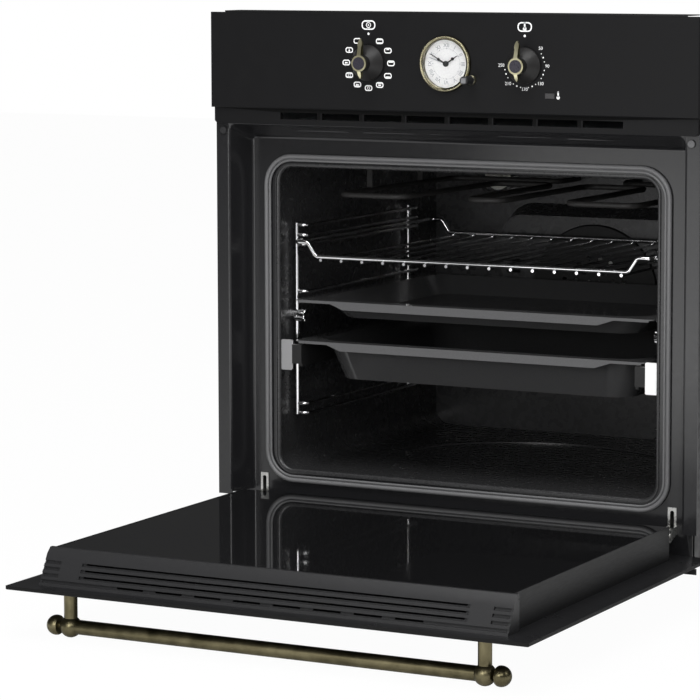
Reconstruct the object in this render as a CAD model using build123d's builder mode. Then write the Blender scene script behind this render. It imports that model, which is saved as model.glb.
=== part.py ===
from build123d import *
import os
from math import cos, radians, sin, sqrt

os.makedirs("parts", exist_ok=True)

# Built-in oven with its drop-down door open at 90 degrees. Sizes are in millimetres.
# X runs to the right, Y into the oven and Z up. The origin is the middle of the base.
# Depths count from the face of the control panel towards the rear.

# Clearances
running_clearance = 0.05
sliding_clearance = 0.3

# Overall body
body_depth = 560.0
front_width = 595.0
front_height = 595.0
casing_inset = 19.5
casing_width = front_width - 2 * casing_inset
casing_drop = 19.0
casing_height = front_height - casing_drop
casing_sheet = 1.0
casing_start = 17.5
front_y = -body_depth / 2

# Control panel and its carrier
panel_height = 107.6
panel_glass = 5.0
panel_bevel = 1.4
carrier_sheet = 1.2
carrier_lap = 3.0
carrier_width = casing_width + 2 * carrier_lap
carrier_rise = 1.7
carrier_flange = 34.0
panel_low = front_height - panel_height
carrier_back = panel_glass + carrier_sheet

# Front frame of enamelled sheet
frame_sheet = 1.2
frame_inset = 2.3
frame_width = front_width - 2 * frame_inset
frame_depth = 8.5
recess_flare = 0.5
recess_width = casing_width + 2 * recess_flare
recess_head = 18.9
recess_top = panel_low - recess_head
seat_depth = 42.5
recess_draft = 11.0
seat_width = recess_width - 2 * recess_draft
roof_drop = 15.5
seat_top = recess_top - roof_drop
seat_margin = 3.0
frame_foot = 42.5
recess_corner = 7.0
slit_length = 66.0
slit_width = 3.0
slit_pitch = 83.2
slit_count = 5
slit_depth = 24.0
fixing_inset = 9.5
fixing_half = frame_width / 2 - fixing_inset
fixing_drop = 26.4
fixing_height = panel_low - fixing_drop
fixing_bush = 9.0
fixing_hole = 5.0

# Air outlet below the control panel
outlet_inset = 0.7
outlet_width = frame_width - 2 * outlet_inset
outlet_height = 18.2
outlet_low = panel_low - outlet_height
outlet_depth = 3.5
outlet_count = 8
outlet_pitch = 53.0
outlet_hole = 47.0
outlet_hole_height = 7.5
duct_width = 438.0
duct_drop = 15.4
duct_low = panel_low - duct_drop
duct_height = 14.4
duct_sheet = 0.8

# Base
base_sheet = 1.0
base_lip = 6.5
base_vent_pitch = 70.0
base_vent_rows = 150.0
base_vent_length = 44.0
base_vent_width = 6.0

# Cavity
cavity_inset = 31.5
cavity_width = seat_width - 2 * cavity_inset
cavity_floor = 68.0
cavity_head = 31.0
cavity_top = seat_top - cavity_head
cavity_height = cavity_top - cavity_floor
cavity_middle = cavity_floor + cavity_height / 2
cavity_lap = 2.0
cavity_front = seat_depth - cavity_lap
rear_space = 111.0
cavity_rear = body_depth - rear_space
cover_depth = 39.0
cover_front = cavity_rear - cover_depth
cavity_corner = 20.0
liner_sheet = 1.2
insulation_side = 20.0
insulation_rear = 20.0
insulation_under = 10.0
floor_step = 1.5
floor_oval_width = 330.0
floor_oval_depth = 250.0

# Door seal
seal_width = 9.0
seal_inset = 16.5
seal_half_width = seat_width / 2 - seal_inset
seal_rim = 12.0
seal_half_height = cavity_height / 2 + seal_rim
seal_corner = 36.0
seal_rise = 4.7

# Door and its hinge line. The tail is the glass behind the hinge line.
door_gap = 4.0
door_proud = 2.9
door_thickness = seat_depth - seal_rise - sliding_clearance + door_proud
hinge_depth = 25.0
hinge_height = 36.5
door_reach = panel_low - door_gap - hinge_height
door_front = hinge_depth - door_reach
door_tail = 16.0
door_box_gap = 4.6
door_box_width = seat_width - 2 * door_box_gap
trim_overhang = 4.6
door_trim_width = door_box_width + 2 * trim_overhang
outer_glass = 4.0
inner_glass = 4.0
middle_glass = 3.0
middle_glass_lift = 16.4
door_sheet = 1.2
door_lip = 0.4
box_setback = 43.9
box_front = door_front + box_setback
box_tail = 11.0
trim_wall = 2.2
trim_toe = 17.5
trim_brow = 6.0
fin_count = 5
fin_height = 3.0
fin_step = 2.4
pad_inset = 28.4
pad_place = door_box_width / 2 - pad_inset
pad_width = 25.0
vent_count = 8
vent_length = 31.0
vent_pitch = 45.6
spacer_width = 11.0
spacer_inset = 19.4
spacer_place = door_box_width / 2 - spacer_inset
spacer_groove = 5.5

# Hinges
hinge_inset = 9.4
hinge_place = door_box_width / 2 - hinge_inset
hinge_case_width = 10.0
hinge_case_low = 35.0
hinge_case_height = 29.5
hinge_case_length = 150.0
hinge_case_wall = 1.2
hinge_slot_height = 22.0
hinge_slot_width = 4.6
hinge_ear_radius = 7.5
hinge_pin = 6.0
hinge_arm_width = 4.8
hinge_arm_radius = 6.5
hinge_arm_length = 150.0

# Handle of aged brass
handle_inset = 60.3
handle_half = front_width / 2 - handle_inset
handle_setback = 30.9
handle_place = door_front + handle_setback
handle_drop = 38.7
handle_post = 14.0
handle_ball = 22.9
handle_bar = 15.2
finial_width = 21.0
finial_reach = 27.9
finial_flat = 2.8
finial_neck = 7.0
post_socket = 4.0

# Side racks
rack_wire = 4.0
rack_post_wire = 5.0
rack_gap = 6.0
rack_offset = 13.0
rack_post_half = cavity_width / 2 - rack_gap
rack_half = rack_post_half - rack_offset
rack_setback = 37.5
rack_front = cavity_front + rack_setback
rack_tail = 50.0
rack_back = cover_front - rack_tail
rack_low = 129.5
rack_headroom = 70.0
rack_top = cavity_top - rack_headroom
level_rise = 1.8
level_low = rack_low + level_rise
level_count = 4
guide_gap = 11.0
rail_drop = 2.3
rack_rail_top = rack_top - rail_drop
top_space = 22.5
level_pitch = (rack_rail_top - top_space - level_low) / (level_count - 1)
rack_bend = 6.0
rack_nut = 13.0
rack_eye = 5.2
nut_length = 6.0
nut_rise = 1.0
rack_nut_height = cavity_middle + nut_rise

# Wire shelf
shelf_frame_wire = 5.0
shelf_wire = 3.5
shelf_overhang = 3.0
shelf_half = rack_half + shelf_overhang
shelf_setback = 16.5
shelf_front = cavity_front + shelf_setback
shelf_tail = 9.0
shelf_rear = cover_front - shelf_tail
shelf_dip = 15.7
shelf_rest = 16.0
shelf_shoulder = shelf_half - shelf_rest
shelf_slope = 10.5
shelf_dip_half = shelf_shoulder - shelf_slope
shelf_bend = 6.0
shelf_wire_count = 15
shelf_wire_edge = 7.3
shelf_wire_pitch = 2 * (shelf_dip_half - shelf_wire_edge) / (shelf_wire_count - 1)
weld = 0.5

# Shallow tray and deep pan
tray_sheet = 1.2
tray_overhang = 6.6
tray_half = rack_half + tray_overhang
tray_setback = 14.3
tray_front = cavity_front + tray_setback
tray_tail = 10.0
tray_rear = cover_front - tray_tail
tray_depth = 22.0
tray_rim = 16.0
pan_overhang = 1.6
pan_half = rack_half + pan_overhang
pan_setback = 6.5
pan_front = cavity_front + pan_setback
pan_tail = 8.0
pan_rear = cover_front - pan_tail
pan_depth = 46.0
pan_rim = 15.0
tray_flare = 7.0
rim_corner = 6.0
lip_lean = 3.5
lip_drop = 9.0
lip_edge = 3.0
lip_half = 158.0
lip_taper = 18.0
tray_corner = 34.0
tray_draft = 14.0

# Telescopic runners
runner_setback = 39.5
runner_front = cavity_front + runner_setback
runner_tail = 40.0
runner_rear = cover_front - runner_tail
runner_height = 22.0
runner_sheet = 1.6
runner_hang = 6.6
runner_low = level_low + level_pitch - runner_hang
middle_inset = 2.0
middle_sheet = 2.2
slide_sheet = 3.6
runner_gap = 0.4
slide_setback = 7.5
slide_front = cavity_front + slide_setback
end_plate_height = 35.0
end_plate_width = 14.0
end_plate_thickness = 2.5

# Fans
fan_rise = 5.0
fan_height = cavity_middle + fan_rise
fan_wheel_radius = 70.0
fan_wheel_hub = 16.0
fan_blade_count = 12
fan_blade_length = 38.0
fan_blade_depth = 18.0
fan_blade_sheet = 1.2
fan_wheel_gap = 9.0
fan_wheel_depth = cavity_rear - fan_wheel_gap
fan_shaft = 8.0
fan_shaft_hole = 13.0
cover_width = 277.0
cover_height = 206.0
cover_sheet = 1.2
cover_inset = 12.0
cover_corner = 40.0
cover_hole = 6.0
cover_ring_step = 14.0
cover_ring_count = 3
cover_dome = 83.0
cover_dome_rise = 3.0
cover_slot_count = 6
cover_slot_length = 26.0
ring_radius = 88.0
ring_tube = 6.4
ring_gap = 18.0
ring_depth = cavity_rear - ring_gap
motor_radius = 34.0
motor_length = 42.0
cooling_back = 3.0
cooling_depth = cavity_rear + cooling_back
cooling_rise = 43.0
cooling_height = duct_low + cooling_rise
cooling_wheel_radius = 30.0
cooling_wheel_length = 180.0
cooling_blade_count = 18
cooling_blade_width = 8.0
cooling_blade_sheet = 0.9
cooling_shell_radius = 38.0
cooling_shaft = 5.0

# Heating elements and lamp
grill_drop = 37.0
grill_height = cavity_top - grill_drop
grill_tube = 6.5
grill_inset = 51.0
grill_half = cavity_width / 2 - grill_inset
grill_inner = 100.0
grill_setback = 54.5
grill_front = cavity_front + grill_setback
grill_tail = 15.0
grill_rear = cover_front - grill_tail
grill_bend = 17.0
grill_leg = 40.0
grill_loop = 60.0
grill_core = 21.25
hanger_front = 80.0
hanger_rear = 90.0
hanger_width = 7.0
hanger_sheet = 2.0
under_tube = 6.4
under_inset = 86.0
under_half = cavity_width / 2 - under_inset
under_gap = 8.0
under_setback = 90.0
under_tail = 60.0
under_leg = 30.0
under_core = 50.0
under_loop = 70.0
under_bend = 20.0
lamp_inset = 86.0
lamp_place = lamp_inset - cavity_width / 2
lamp_drop = 37.0
lamp_height = cavity_top - lamp_drop
lamp_radius = 25.0
lamp_rise = 14.0

# Knobs, clock and pilot lamp
knob_place = 95.0
knob_rise = 53.1
knob_height = panel_low + knob_rise
knob_radius = 19.8
knob_gap = 0.8
knob_length = 21.0
knob_hub = 9.0
pointer_length = 27.4
pointer_tail = 17.0
pointer_thickness = 2.6
pointer_blade = 6.5
pointer_lean = 4.0
pointer_neck = 18.0
pointer_cap = 5.6
spindle = 6.0
spindle_hole = 10.0
switch_size = 40.0
switch_length = 32.0
clock_rise = 53.6
clock_height = panel_low + clock_rise
bezel_radius = 31.0
bezel_bore = 26.4
bezel_barrel = 27.2
bezel_rise = 4.0
bezel_depth = 7.0
dial_depth = 2.0
dial_sheet = 1.0
movement_length = 30.0
lens_sheet = 1.2
minute_length = 22.1
hour_length = 17.0
alarm_length = 22.4
hand_sheet = 0.4
hand_gap = 0.4
hand_hub = 3.2
hand_dot = 1.55
hand_dot_place = 10.0
arbor = 1.6
setting_collar = 5.2
setting_gap = 0.2
setting_angle = 27.83
setting_reach = bezel_radius + setting_collar + setting_gap
setting_place = setting_reach * cos(radians(setting_angle))
setting_drop = setting_reach * sin(radians(setting_angle))
setting_barrel = 4.7
setting_length = 22.0
pilot_place = 125.0
pilot_lift = 21.1
pilot_height = panel_low + pilot_lift
pilot_width = 11.2
pilot_rise = 5.8

# Rear terminal box
terminal_width = 90.0
terminal_height = 60.0
terminal_depth = 20.0
terminal_place = -170.0
terminal_low = 40.0
gland_radius = 9.0
gland_bore = 5.0
gland_length = 14.0
screw_radius = 4.0
screw_rise = 1.6


def write(piece, name):
    """Labels one finished piece and writes its file."""
    piece.part.label = name
    export_step(piece.part, f"parts/{name}.step")


def facing(depth, x=0.0, z=0.0):
    """Upright plane at a depth. Its first axis is X, its second is Z, and it faces the user."""
    return Plane(origin=(x, front_y + depth, z), x_dir=(1, 0, 0), z_dir=(0, -1, 0))


def cross(x):
    """Upright plane across the oven. Its first axis is depth and its second is height."""
    return Plane(origin=(x, front_y, 0), x_dir=(0, 1, 0), z_dir=(1, 0, 0))


def level(z):
    """Flat plane at a height. Its first axis is X and its second is depth."""
    return Plane(origin=(0, front_y, z), x_dir=(1, 0, 0), z_dir=(0, 0, 1))


def bar(points, bend, diameter):
    """A round bar bent along a path, in X, depth and height."""
    places = [(x, front_y + y, z) for x, y, z in points]
    with BuildPart() as piece:
        with BuildLine() as path:
            FilletPolyline(*places, radius=bend)
        with BuildSketch(Plane(origin=path.line @ 0, z_dir=path.line % 0)):
            Circle(diameter / 2)
        sweep(path=path.line)
    return piece.part


# Casing

with BuildPart() as base_plate:
    with BuildSketch(level(0)):
        with Locations((0, (frame_depth + body_depth - casing_sheet) / 2)):
            Rectangle(casing_width - 2 * casing_sheet, body_depth - casing_sheet - frame_depth)
    extrude(amount=base_sheet)
    with BuildSketch(facing(frame_depth)):
        with Locations((0, base_lip / 2)):
            Rectangle(frame_width, base_lip)
    extrude(amount=-frame_sheet)
    with BuildSketch(level(0)):
        with Locations((0, body_depth / 2)):
            with GridLocations(base_vent_pitch, base_vent_rows, 6, 2):
                SlotOverall(base_vent_length, base_vent_width)
    extrude(amount=base_sheet, mode=Mode.SUBTRACT)
write(base_plate, "base_plate")

notch_depth = seat_depth + frame_sheet + seat_margin
notch_height = frame_foot + seat_margin
side_top = casing_height - casing_sheet
with BuildPart() as side_panels:
    with BuildSketch(cross(casing_width / 2)):
        with BuildLine():
            Polyline(
                (notch_depth, 0),
                (body_depth, 0),
                (body_depth, side_top),
                (casing_start, side_top),
                (casing_start, notch_height),
                (notch_depth, notch_height),
                close=True,
            )
        make_face()
        with Locations((body_depth * 0.72, side_top - 60)):
            with GridLocations(22, 0, 8, 1):
                SlotOverall(46, 5, rotation=90, mode=Mode.SUBTRACT)
        with Locations((body_depth * 0.72, 70)):
            with GridLocations(22, 0, 8, 1):
                SlotOverall(46, 5, rotation=90, mode=Mode.SUBTRACT)
    extrude(amount=-casing_sheet)
    mirror(about=Plane.YZ)
write(side_panels, "side_panels")

with BuildPart() as top_panel:
    with BuildSketch(level(side_top)):
        with Locations((0, (casing_start + body_depth) / 2)):
            Rectangle(casing_width, body_depth - casing_start)
        with Locations((0, cooling_depth)):
            with GridLocations(36, 0, 10, 1):
                SlotOverall(60, 6, rotation=90, mode=Mode.SUBTRACT)
    extrude(amount=casing_sheet)
write(top_panel, "top_panel")

terminal_middle = terminal_low + terminal_height / 2
with BuildPart() as rear_panel:
    with BuildSketch(facing(body_depth - casing_sheet)):
        with Locations((0, side_top / 2 + base_sheet / 2)):
            Rectangle(casing_width - 2 * casing_sheet, side_top - base_sheet)
        with Locations((0, cooling_height)):
            with GridLocations(20, 0, 18, 1):
                SlotOverall(50, 6, rotation=90, mode=Mode.SUBTRACT)
        with Locations((0, fan_height)):
            with PolarLocations(52, 10):
                SlotOverall(26, 6, mode=Mode.SUBTRACT)
        with Locations((terminal_place, terminal_middle)):
            Circle(gland_radius, mode=Mode.SUBTRACT)
    extrude(amount=-casing_sheet)
write(rear_panel, "rear_panel")

screw_x = casing_width / 2 - 12
with BuildPart() as casing_screws:
    with BuildSketch(facing(body_depth)):
        with Locations((0, casing_height / 2)):
            with GridLocations(2 * screw_x, casing_height - 60, 2, 2):
                Circle(screw_radius)
            with GridLocations(2 * screw_x, 0, 2, 1):
                Circle(screw_radius)
    extrude(amount=-screw_rise)
    chamfer(casing_screws.edges().group_by(Axis.Y)[-1], 0.6)
write(casing_screws, "casing_screws")

# Front frame: flange, drawn recess, seat of the door seal and the hinge slots

liner_half = cavity_width / 2 + liner_sheet
liner_high = cavity_height + 2 * liner_sheet
liner_round = cavity_corner + liner_sheet
seat_back = seat_depth + frame_sheet
casing_inner = casing_width / 2 - casing_sheet


def recess_outline(depth, half, top, growth):
    """Outline of the recess, open at the foot, at one depth."""
    low = frame_foot - growth
    with BuildSketch(facing(depth)) as outline:
        with Locations((0, (low + top) / 2)):
            Rectangle(2 * half, top - low)
        fillet(outline.vertices().group_by(Axis.Z)[-1], recess_corner)
    return outline.sketch


wall_slope = (seat_width - recess_width) / 2 / (seat_depth - frame_depth)
roof_slope = (seat_top - recess_top) / (seat_depth - frame_depth)
back_half = seat_width / 2 + wall_slope * frame_sheet
back_top = seat_top + roof_slope * frame_sheet
outside_front = recess_outline(frame_depth, recess_width / 2 + frame_sheet, recess_top + frame_sheet, 0)
outside_back = recess_outline(seat_back, back_half + frame_sheet, back_top + frame_sheet, 0)
inside_front = recess_outline(frame_depth, recess_width / 2, recess_top, 2)
inside_back = recess_outline(seat_depth, seat_width / 2, seat_top, 2)
hinge_case_middle = hinge_case_low + hinge_case_height / 2
with BuildPart() as front_frame:
    loft([outside_front, outside_back])
    with BuildSketch(facing(frame_depth)):
        with Locations((0, (frame_foot + panel_low) / 2)):
            Rectangle(frame_width, panel_low - frame_foot)
        with Locations((0, duct_low + duct_height / 2)):
            Rectangle(duct_width - 2 * duct_sheet, duct_height - 2 * duct_sheet, mode=Mode.SUBTRACT)
        with Locations((0, fixing_height)):
            with GridLocations(2 * fixing_half, 0, 2, 1):
                Circle(fixing_bush / 2 - 1, mode=Mode.SUBTRACT)
    extrude(amount=-frame_sheet)
    loft([inside_front, inside_back], mode=Mode.SUBTRACT)
    with BuildSketch(facing(seat_depth)):
        with Locations((0, (base_sheet + seat_top + seat_margin) / 2)):
            Rectangle(2 * casing_inner, seat_top + seat_margin - base_sheet)
    extrude(amount=-frame_sheet)
    with BuildSketch(facing(seat_depth)):
        with Locations((0, cavity_middle)):
            RectangleRounded(2 * liner_half, liner_high, liner_round)
        with Locations((0, hinge_case_middle)):
            with GridLocations(2 * hinge_place, 0, 2, 1):
                Rectangle(hinge_case_width, hinge_case_height)
    extrude(amount=-frame_sheet, mode=Mode.SUBTRACT)
    with BuildSketch(level(seat_top + seat_margin)):
        with Locations((0, slit_depth)):
            with GridLocations(slit_pitch, 0, slit_count, 1):
                SlotOverall(slit_length, slit_width)
    extrude(amount=frame_sheet + recess_top - seat_top, mode=Mode.SUBTRACT)
write(front_frame, "front_frame")

with BuildPart() as fixing_bushes:
    with BuildSketch(facing(frame_depth)):
        with Locations((0, fixing_height)):
            with GridLocations(2 * fixing_half, 0, 2, 1):
                Circle(fixing_bush / 2)
    extrude(amount=1.5)
    with BuildSketch(facing(frame_depth)):
        with Locations((0, fixing_height)):
            with GridLocations(2 * fixing_half, 0, 2, 1):
                Circle(fixing_bush / 2 - 1)
    extrude(amount=-frame_sheet - 1.0)
    with BuildSketch(facing(frame_depth - 1.5)):
        with Locations((0, fixing_height)):
            with GridLocations(2 * fixing_half, 0, 2, 1):
                Circle(fixing_hole / 2)
    extrude(amount=-frame_sheet - 2.5, mode=Mode.SUBTRACT)
write(fixing_bushes, "fixing_bushes")

# Seal of the door: a round-cornered silicone ring on the seat

with BuildPart() as door_seal:
    with BuildSketch(facing(seat_depth)):
        with Locations((0, cavity_middle)):
            RectangleRounded(2 * seal_half_width, 2 * seal_half_height, seal_corner)
            RectangleRounded(
                2 * (seal_half_width - seal_width),
                2 * (seal_half_height - seal_width),
                seal_corner - seal_width,
                mode=Mode.SUBTRACT,
            )
    extrude(amount=seal_rise)
    chamfer(door_seal.edges().group_by(Axis.Y)[0], 2.2)
write(door_seal, "door_seal")

# Cavity with its embossed floor

fan_hole = fan_shaft_hole / 2
lamp_body = lamp_radius * 0.7
with BuildPart() as cavity_liner:
    with BuildSketch(facing(cavity_front)):
        with Locations((0, cavity_middle)):
            RectangleRounded(2 * liner_half, liner_high, liner_round)
    extrude(amount=cavity_front - cavity_rear - liner_sheet)
    with BuildSketch(facing(cavity_front)):
        with Locations((0, cavity_middle)):
            RectangleRounded(cavity_width, cavity_height, cavity_corner)
    extrude(amount=cavity_front - cavity_rear, mode=Mode.SUBTRACT)
    floor_centre = (cavity_front + cavity_rear) / 2
    with BuildSketch(level(cavity_floor - floor_step - liner_sheet)):
        with Locations((0, floor_centre)):
            Ellipse(floor_oval_width / 2 + liner_sheet, floor_oval_depth / 2 + liner_sheet)
    extrude(amount=floor_step + liner_sheet)
    with BuildSketch(level(cavity_floor - floor_step)):
        with Locations((0, floor_centre)):
            Ellipse(floor_oval_width / 2, floor_oval_depth / 2)
    extrude(amount=floor_step, mode=Mode.SUBTRACT)
    with BuildSketch(facing(cavity_rear)):
        with Locations((0, fan_height)):
            Circle(fan_hole)
        with Locations((lamp_place, lamp_height)):
            Circle(lamp_body)
    extrude(amount=-liner_sheet, mode=Mode.SUBTRACT)
write(cavity_liner, "cavity_liner")

wrap_back = cavity_rear + liner_sheet + insulation_rear
with BuildPart() as insulation:
    with BuildSketch(facing(seat_back)):
        with Locations((0, cavity_middle + insulation_side / 2)):
            Rectangle(2 * (liner_half + insulation_side), liner_high + insulation_side)
    extrude(amount=seat_back - wrap_back)
    with BuildSketch(facing(seat_back)):
        with Locations((0, cavity_middle - liner_round / 2)):
            Rectangle(2 * liner_half, liner_high - liner_round)
        with Locations((0, cavity_middle)):
            RectangleRounded(2 * liner_half, liner_high, liner_round)
    extrude(amount=seat_back - cavity_rear - liner_sheet, mode=Mode.SUBTRACT)
    with BuildSketch(facing(cavity_rear)):
        with Locations((0, fan_height)):
            Circle(fan_shaft_hole)
        with Locations((lamp_place, lamp_height)):
            Circle(lamp_body)
    extrude(amount=-liner_sheet - insulation_rear, mode=Mode.SUBTRACT)
    element_low = cavity_floor - floor_step - liner_sheet - under_gap
    with BuildSketch(level(element_low - insulation_under)):
        with Locations((0, (seat_back + wrap_back) / 2)):
            Rectangle(2 * (hinge_place - hinge_case_width), wrap_back - seat_back)
    extrude(amount=insulation_under)
write(insulation, "insulation")

# Heating elements

grill_path = [
    (-grill_leg, cavity_rear, grill_height),
    (-grill_leg, grill_rear, grill_height),
    (-grill_half, grill_rear, grill_height),
    (-grill_half, grill_front, grill_height),
    (-grill_inner, grill_front, grill_height),
    (-grill_inner, grill_rear - grill_loop, grill_height),
    (-grill_core, grill_rear - grill_loop, grill_height),
    (-grill_core, grill_front, grill_height),
]
grill_path += [(-x, y, z) for x, y, z in reversed(grill_path)]
grill_bar = bar(grill_path, grill_bend, grill_tube)
hanger_low = grill_height + grill_tube / 2 - 0.4
with BuildPart() as grill_element:
    add(grill_bar)
    for place in (grill_front + hanger_front, grill_rear - hanger_rear):
        with BuildSketch(facing(place)):
            with GridLocations(2 * grill_half, 0, 2, 1):
                with Locations((0, (hanger_low + cavity_top) / 2)):
                    Rectangle(hanger_width, cavity_top - hanger_low)
        extrude(amount=hanger_sheet)
write(grill_element, "grill_element")

under_height = cavity_floor - floor_step - liner_sheet - under_tube / 2 - sliding_clearance
under_front = cavity_front + under_setback
under_rear = cavity_rear - under_tail
under_path = [
    (-under_leg, cavity_rear, under_height),
    (-under_leg, under_rear, under_height),
    (-under_half, under_rear, under_height),
    (-under_half, under_front, under_height),
    (-under_core, under_front, under_height),
    (-under_core, under_rear - under_loop, under_height),
]
under_path += [(-x, y, z) for x, y, z in reversed(under_path)]
under_bar = bar(under_path, under_bend, under_tube)
with BuildPart() as bottom_element:
    add(under_bar)
write(bottom_element, "bottom_element")

with BuildPart() as ring_element:
    with BuildSketch(Plane(origin=(ring_radius, front_y + ring_depth, fan_height), z_dir=(0, 0, 1))):
        Circle(ring_tube / 2)
    revolve(axis=Axis((0, front_y + ring_depth, fan_height), (0, 1, 0)), revolution_arc=360)
    with BuildSketch(facing(ring_depth)):
        with Locations((0, fan_height - ring_radius)):
            with GridLocations(30, 0, 2, 1):
                Circle(ring_tube / 2)
    extrude(amount=ring_depth - cavity_rear)
write(ring_element, "ring_element")

# Lamp in the back wall

with BuildPart() as lamp_lens:
    with BuildSketch(facing(cavity_rear)):
        with Locations((lamp_place, lamp_height)):
            Circle(lamp_radius)
    extrude(amount=lamp_rise)
    fillet(lamp_lens.edges().group_by(Axis.Y)[0], lamp_rise * 0.6)
    offset(amount=-1.5, openings=lamp_lens.faces().sort_by(Axis.Y)[-1])
write(lamp_lens, "lamp_lens")

with BuildPart() as lamp_holder:
    with BuildSketch(facing(cavity_rear)):
        with Locations((lamp_place, lamp_height)):
            Circle(lamp_body)
    extrude(amount=cavity_rear - wrap_back - 8)
    with BuildSketch(facing(cavity_rear)):
        with Locations((lamp_place, lamp_height)):
            Circle(lamp_radius * 0.3)
    extrude(amount=lamp_rise * 0.6)
    fillet(lamp_holder.edges().group_by(Axis.Y)[0], lamp_radius * 0.2)
write(lamp_holder, "lamp_holder")

# Cover of the convection fan: a pressed box with a raised ring, an intake grille and side outlets

def cover_outline(depth, inset):
    """Outline of the fan cover at one depth, drawn in from its foot."""
    with BuildSketch(facing(depth)) as outline:
        with Locations((0, fan_height)):
            RectangleRounded(cover_width - 2 * inset, cover_height - 2 * inset, cover_corner - inset)
    return outline.sketch


cover_outer = [cover_outline(cover_front, cover_inset), cover_outline(cavity_rear, 0)]
cover_inner = [
    cover_outline(cover_front + cover_sheet, cover_inset + cover_sheet),
    cover_outline(cavity_rear, cover_sheet),
]
with BuildPart() as fan_cover:
    loft(cover_outer)
    with BuildSketch(facing(cover_front)):
        with Locations((0, fan_height)):
            Circle(cover_dome)
    extrude(amount=cover_dome_rise, taper=30)
    loft(cover_inner, mode=Mode.SUBTRACT)
    with BuildSketch(facing(cover_front + cover_sheet)):
        with Locations((0, fan_height)):
            Circle(cover_dome - cover_sheet)
    extrude(amount=cover_dome_rise, taper=30, mode=Mode.SUBTRACT)
    with BuildSketch(facing(cover_front)):
        with Locations((0, fan_height)):
            Circle(cover_hole / 2)
            for ring in range(1, cover_ring_count + 1):
                with PolarLocations(ring * cover_ring_step, 6 * ring):
                    Circle(cover_hole / 2)
    extrude(amount=cover_dome_rise + 1, both=True, mode=Mode.SUBTRACT)
    slot_half = cover_width / 2 - 2.4 * cover_inset
    with BuildSketch(facing(cover_front)):
        with Locations((-slot_half, fan_height), (slot_half, fan_height)):
            with GridLocations(0, 14, 1, cover_slot_count):
                SlotOverall(cover_slot_length * 0.7, 4)
    extrude(amount=cover_sheet + 1, both=True, mode=Mode.SUBTRACT)
write(fan_cover, "fan_cover")

# Convection fan and its motor behind the insulation

motor_front = wrap_back
with BuildPart() as convection_fan_wheel:
    with BuildSketch(facing(fan_wheel_depth)):
        with Locations((0, fan_height)):
            Circle(fan_wheel_radius)
    extrude(amount=fan_blade_sheet)
    with BuildSketch(facing(fan_wheel_depth - fan_blade_sheet)):
        with Locations((0, fan_height)):
            Circle(fan_wheel_hub)
    extrude(amount=4)
    with BuildSketch(facing(fan_wheel_depth - fan_blade_sheet)):
        with Locations((0, fan_height)):
            with PolarLocations(fan_wheel_radius - fan_blade_length / 2, fan_blade_count):
                Rectangle(fan_blade_length, fan_blade_sheet, rotation=18)
    extrude(amount=fan_blade_depth)
    with BuildSketch(facing(fan_wheel_depth)):
        with Locations((0, fan_height)):
            Circle(fan_shaft / 2)
    extrude(amount=fan_wheel_depth - motor_front - motor_length * 0.6)
write(convection_fan_wheel, "convection_fan_wheel")

with BuildPart() as convection_motor:
    with BuildSketch(facing(motor_front)):
        with Locations((0, fan_height)):
            RectangleRounded(3.2 * motor_radius, 1.2 * motor_radius, 6)
    extrude(amount=-2)
    with BuildSketch(facing(motor_front)):
        with Locations((0, fan_height)):
            Circle(motor_radius)
    extrude(amount=-motor_length)
    chamfer(convection_motor.edges().group_by(Axis.Y)[-1], 4)
    with BuildSketch(facing(motor_front)):
        with Locations((0, fan_height)):
            Circle(fan_shaft / 2 + running_clearance)
    extrude(amount=-motor_length * 0.6 - 1, mode=Mode.SUBTRACT)
write(convection_motor, "convection_motor")

# Duct, cooling fan and its motor above the cavity

duct_start = frame_depth + frame_sheet
duct_end = cooling_depth - cooling_shell_radius
duct_middle = duct_low + duct_height / 2
shell_half = cooling_wheel_length / 2 + 6
shell_bottom = duct_low
with BuildPart() as cooling_duct:
    with BuildSketch(facing(duct_start)):
        with Locations((0, duct_middle)):
            Rectangle(duct_width, duct_height)
            Rectangle(duct_width - 2 * duct_sheet, duct_height - 2 * duct_sheet, mode=Mode.SUBTRACT)
    extrude(amount=duct_start - duct_end)
    with BuildSketch(cross(-shell_half)):
        with Locations((cooling_depth, cooling_height)):
            Circle(cooling_shell_radius)
        with BuildLine():
            Polyline(
                (duct_end, shell_bottom),
                (cooling_depth, shell_bottom),
                (cooling_depth, cooling_height),
                (duct_end, cooling_height),
                close=True,
            )
        make_face()
    extrude(amount=2 * shell_half)
    with BuildSketch(cross(-shell_half + 1)):
        with Locations((cooling_depth, cooling_height)):
            Circle(cooling_shell_radius - 1)
        with BuildLine():
            Polyline(
                (duct_end - 1, shell_bottom + 1),
                (cooling_depth - 1, shell_bottom + 1),
                (cooling_depth - 1, cooling_height),
                (duct_end + 1, cooling_height),
                (duct_end + 1, duct_low + duct_height - duct_sheet),
                (duct_end - 1, duct_low + duct_height - duct_sheet),
                close=True,
            )
        make_face()
    extrude(amount=2 * shell_half - 2, mode=Mode.SUBTRACT)
    with BuildSketch(level(cooling_height)):
        with Locations((0, cooling_depth + cooling_shell_radius)):
            Rectangle(cooling_wheel_length, 2 * cooling_shell_radius)
    extrude(amount=2 * cooling_shell_radius, mode=Mode.SUBTRACT)
    with BuildSketch(cross(-shell_half)):
        with Locations((cooling_depth, cooling_height)):
            Circle(cooling_shaft / 2 + 1)
    extrude(amount=2 * shell_half, mode=Mode.SUBTRACT)
write(cooling_duct, "cooling_duct")

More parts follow.
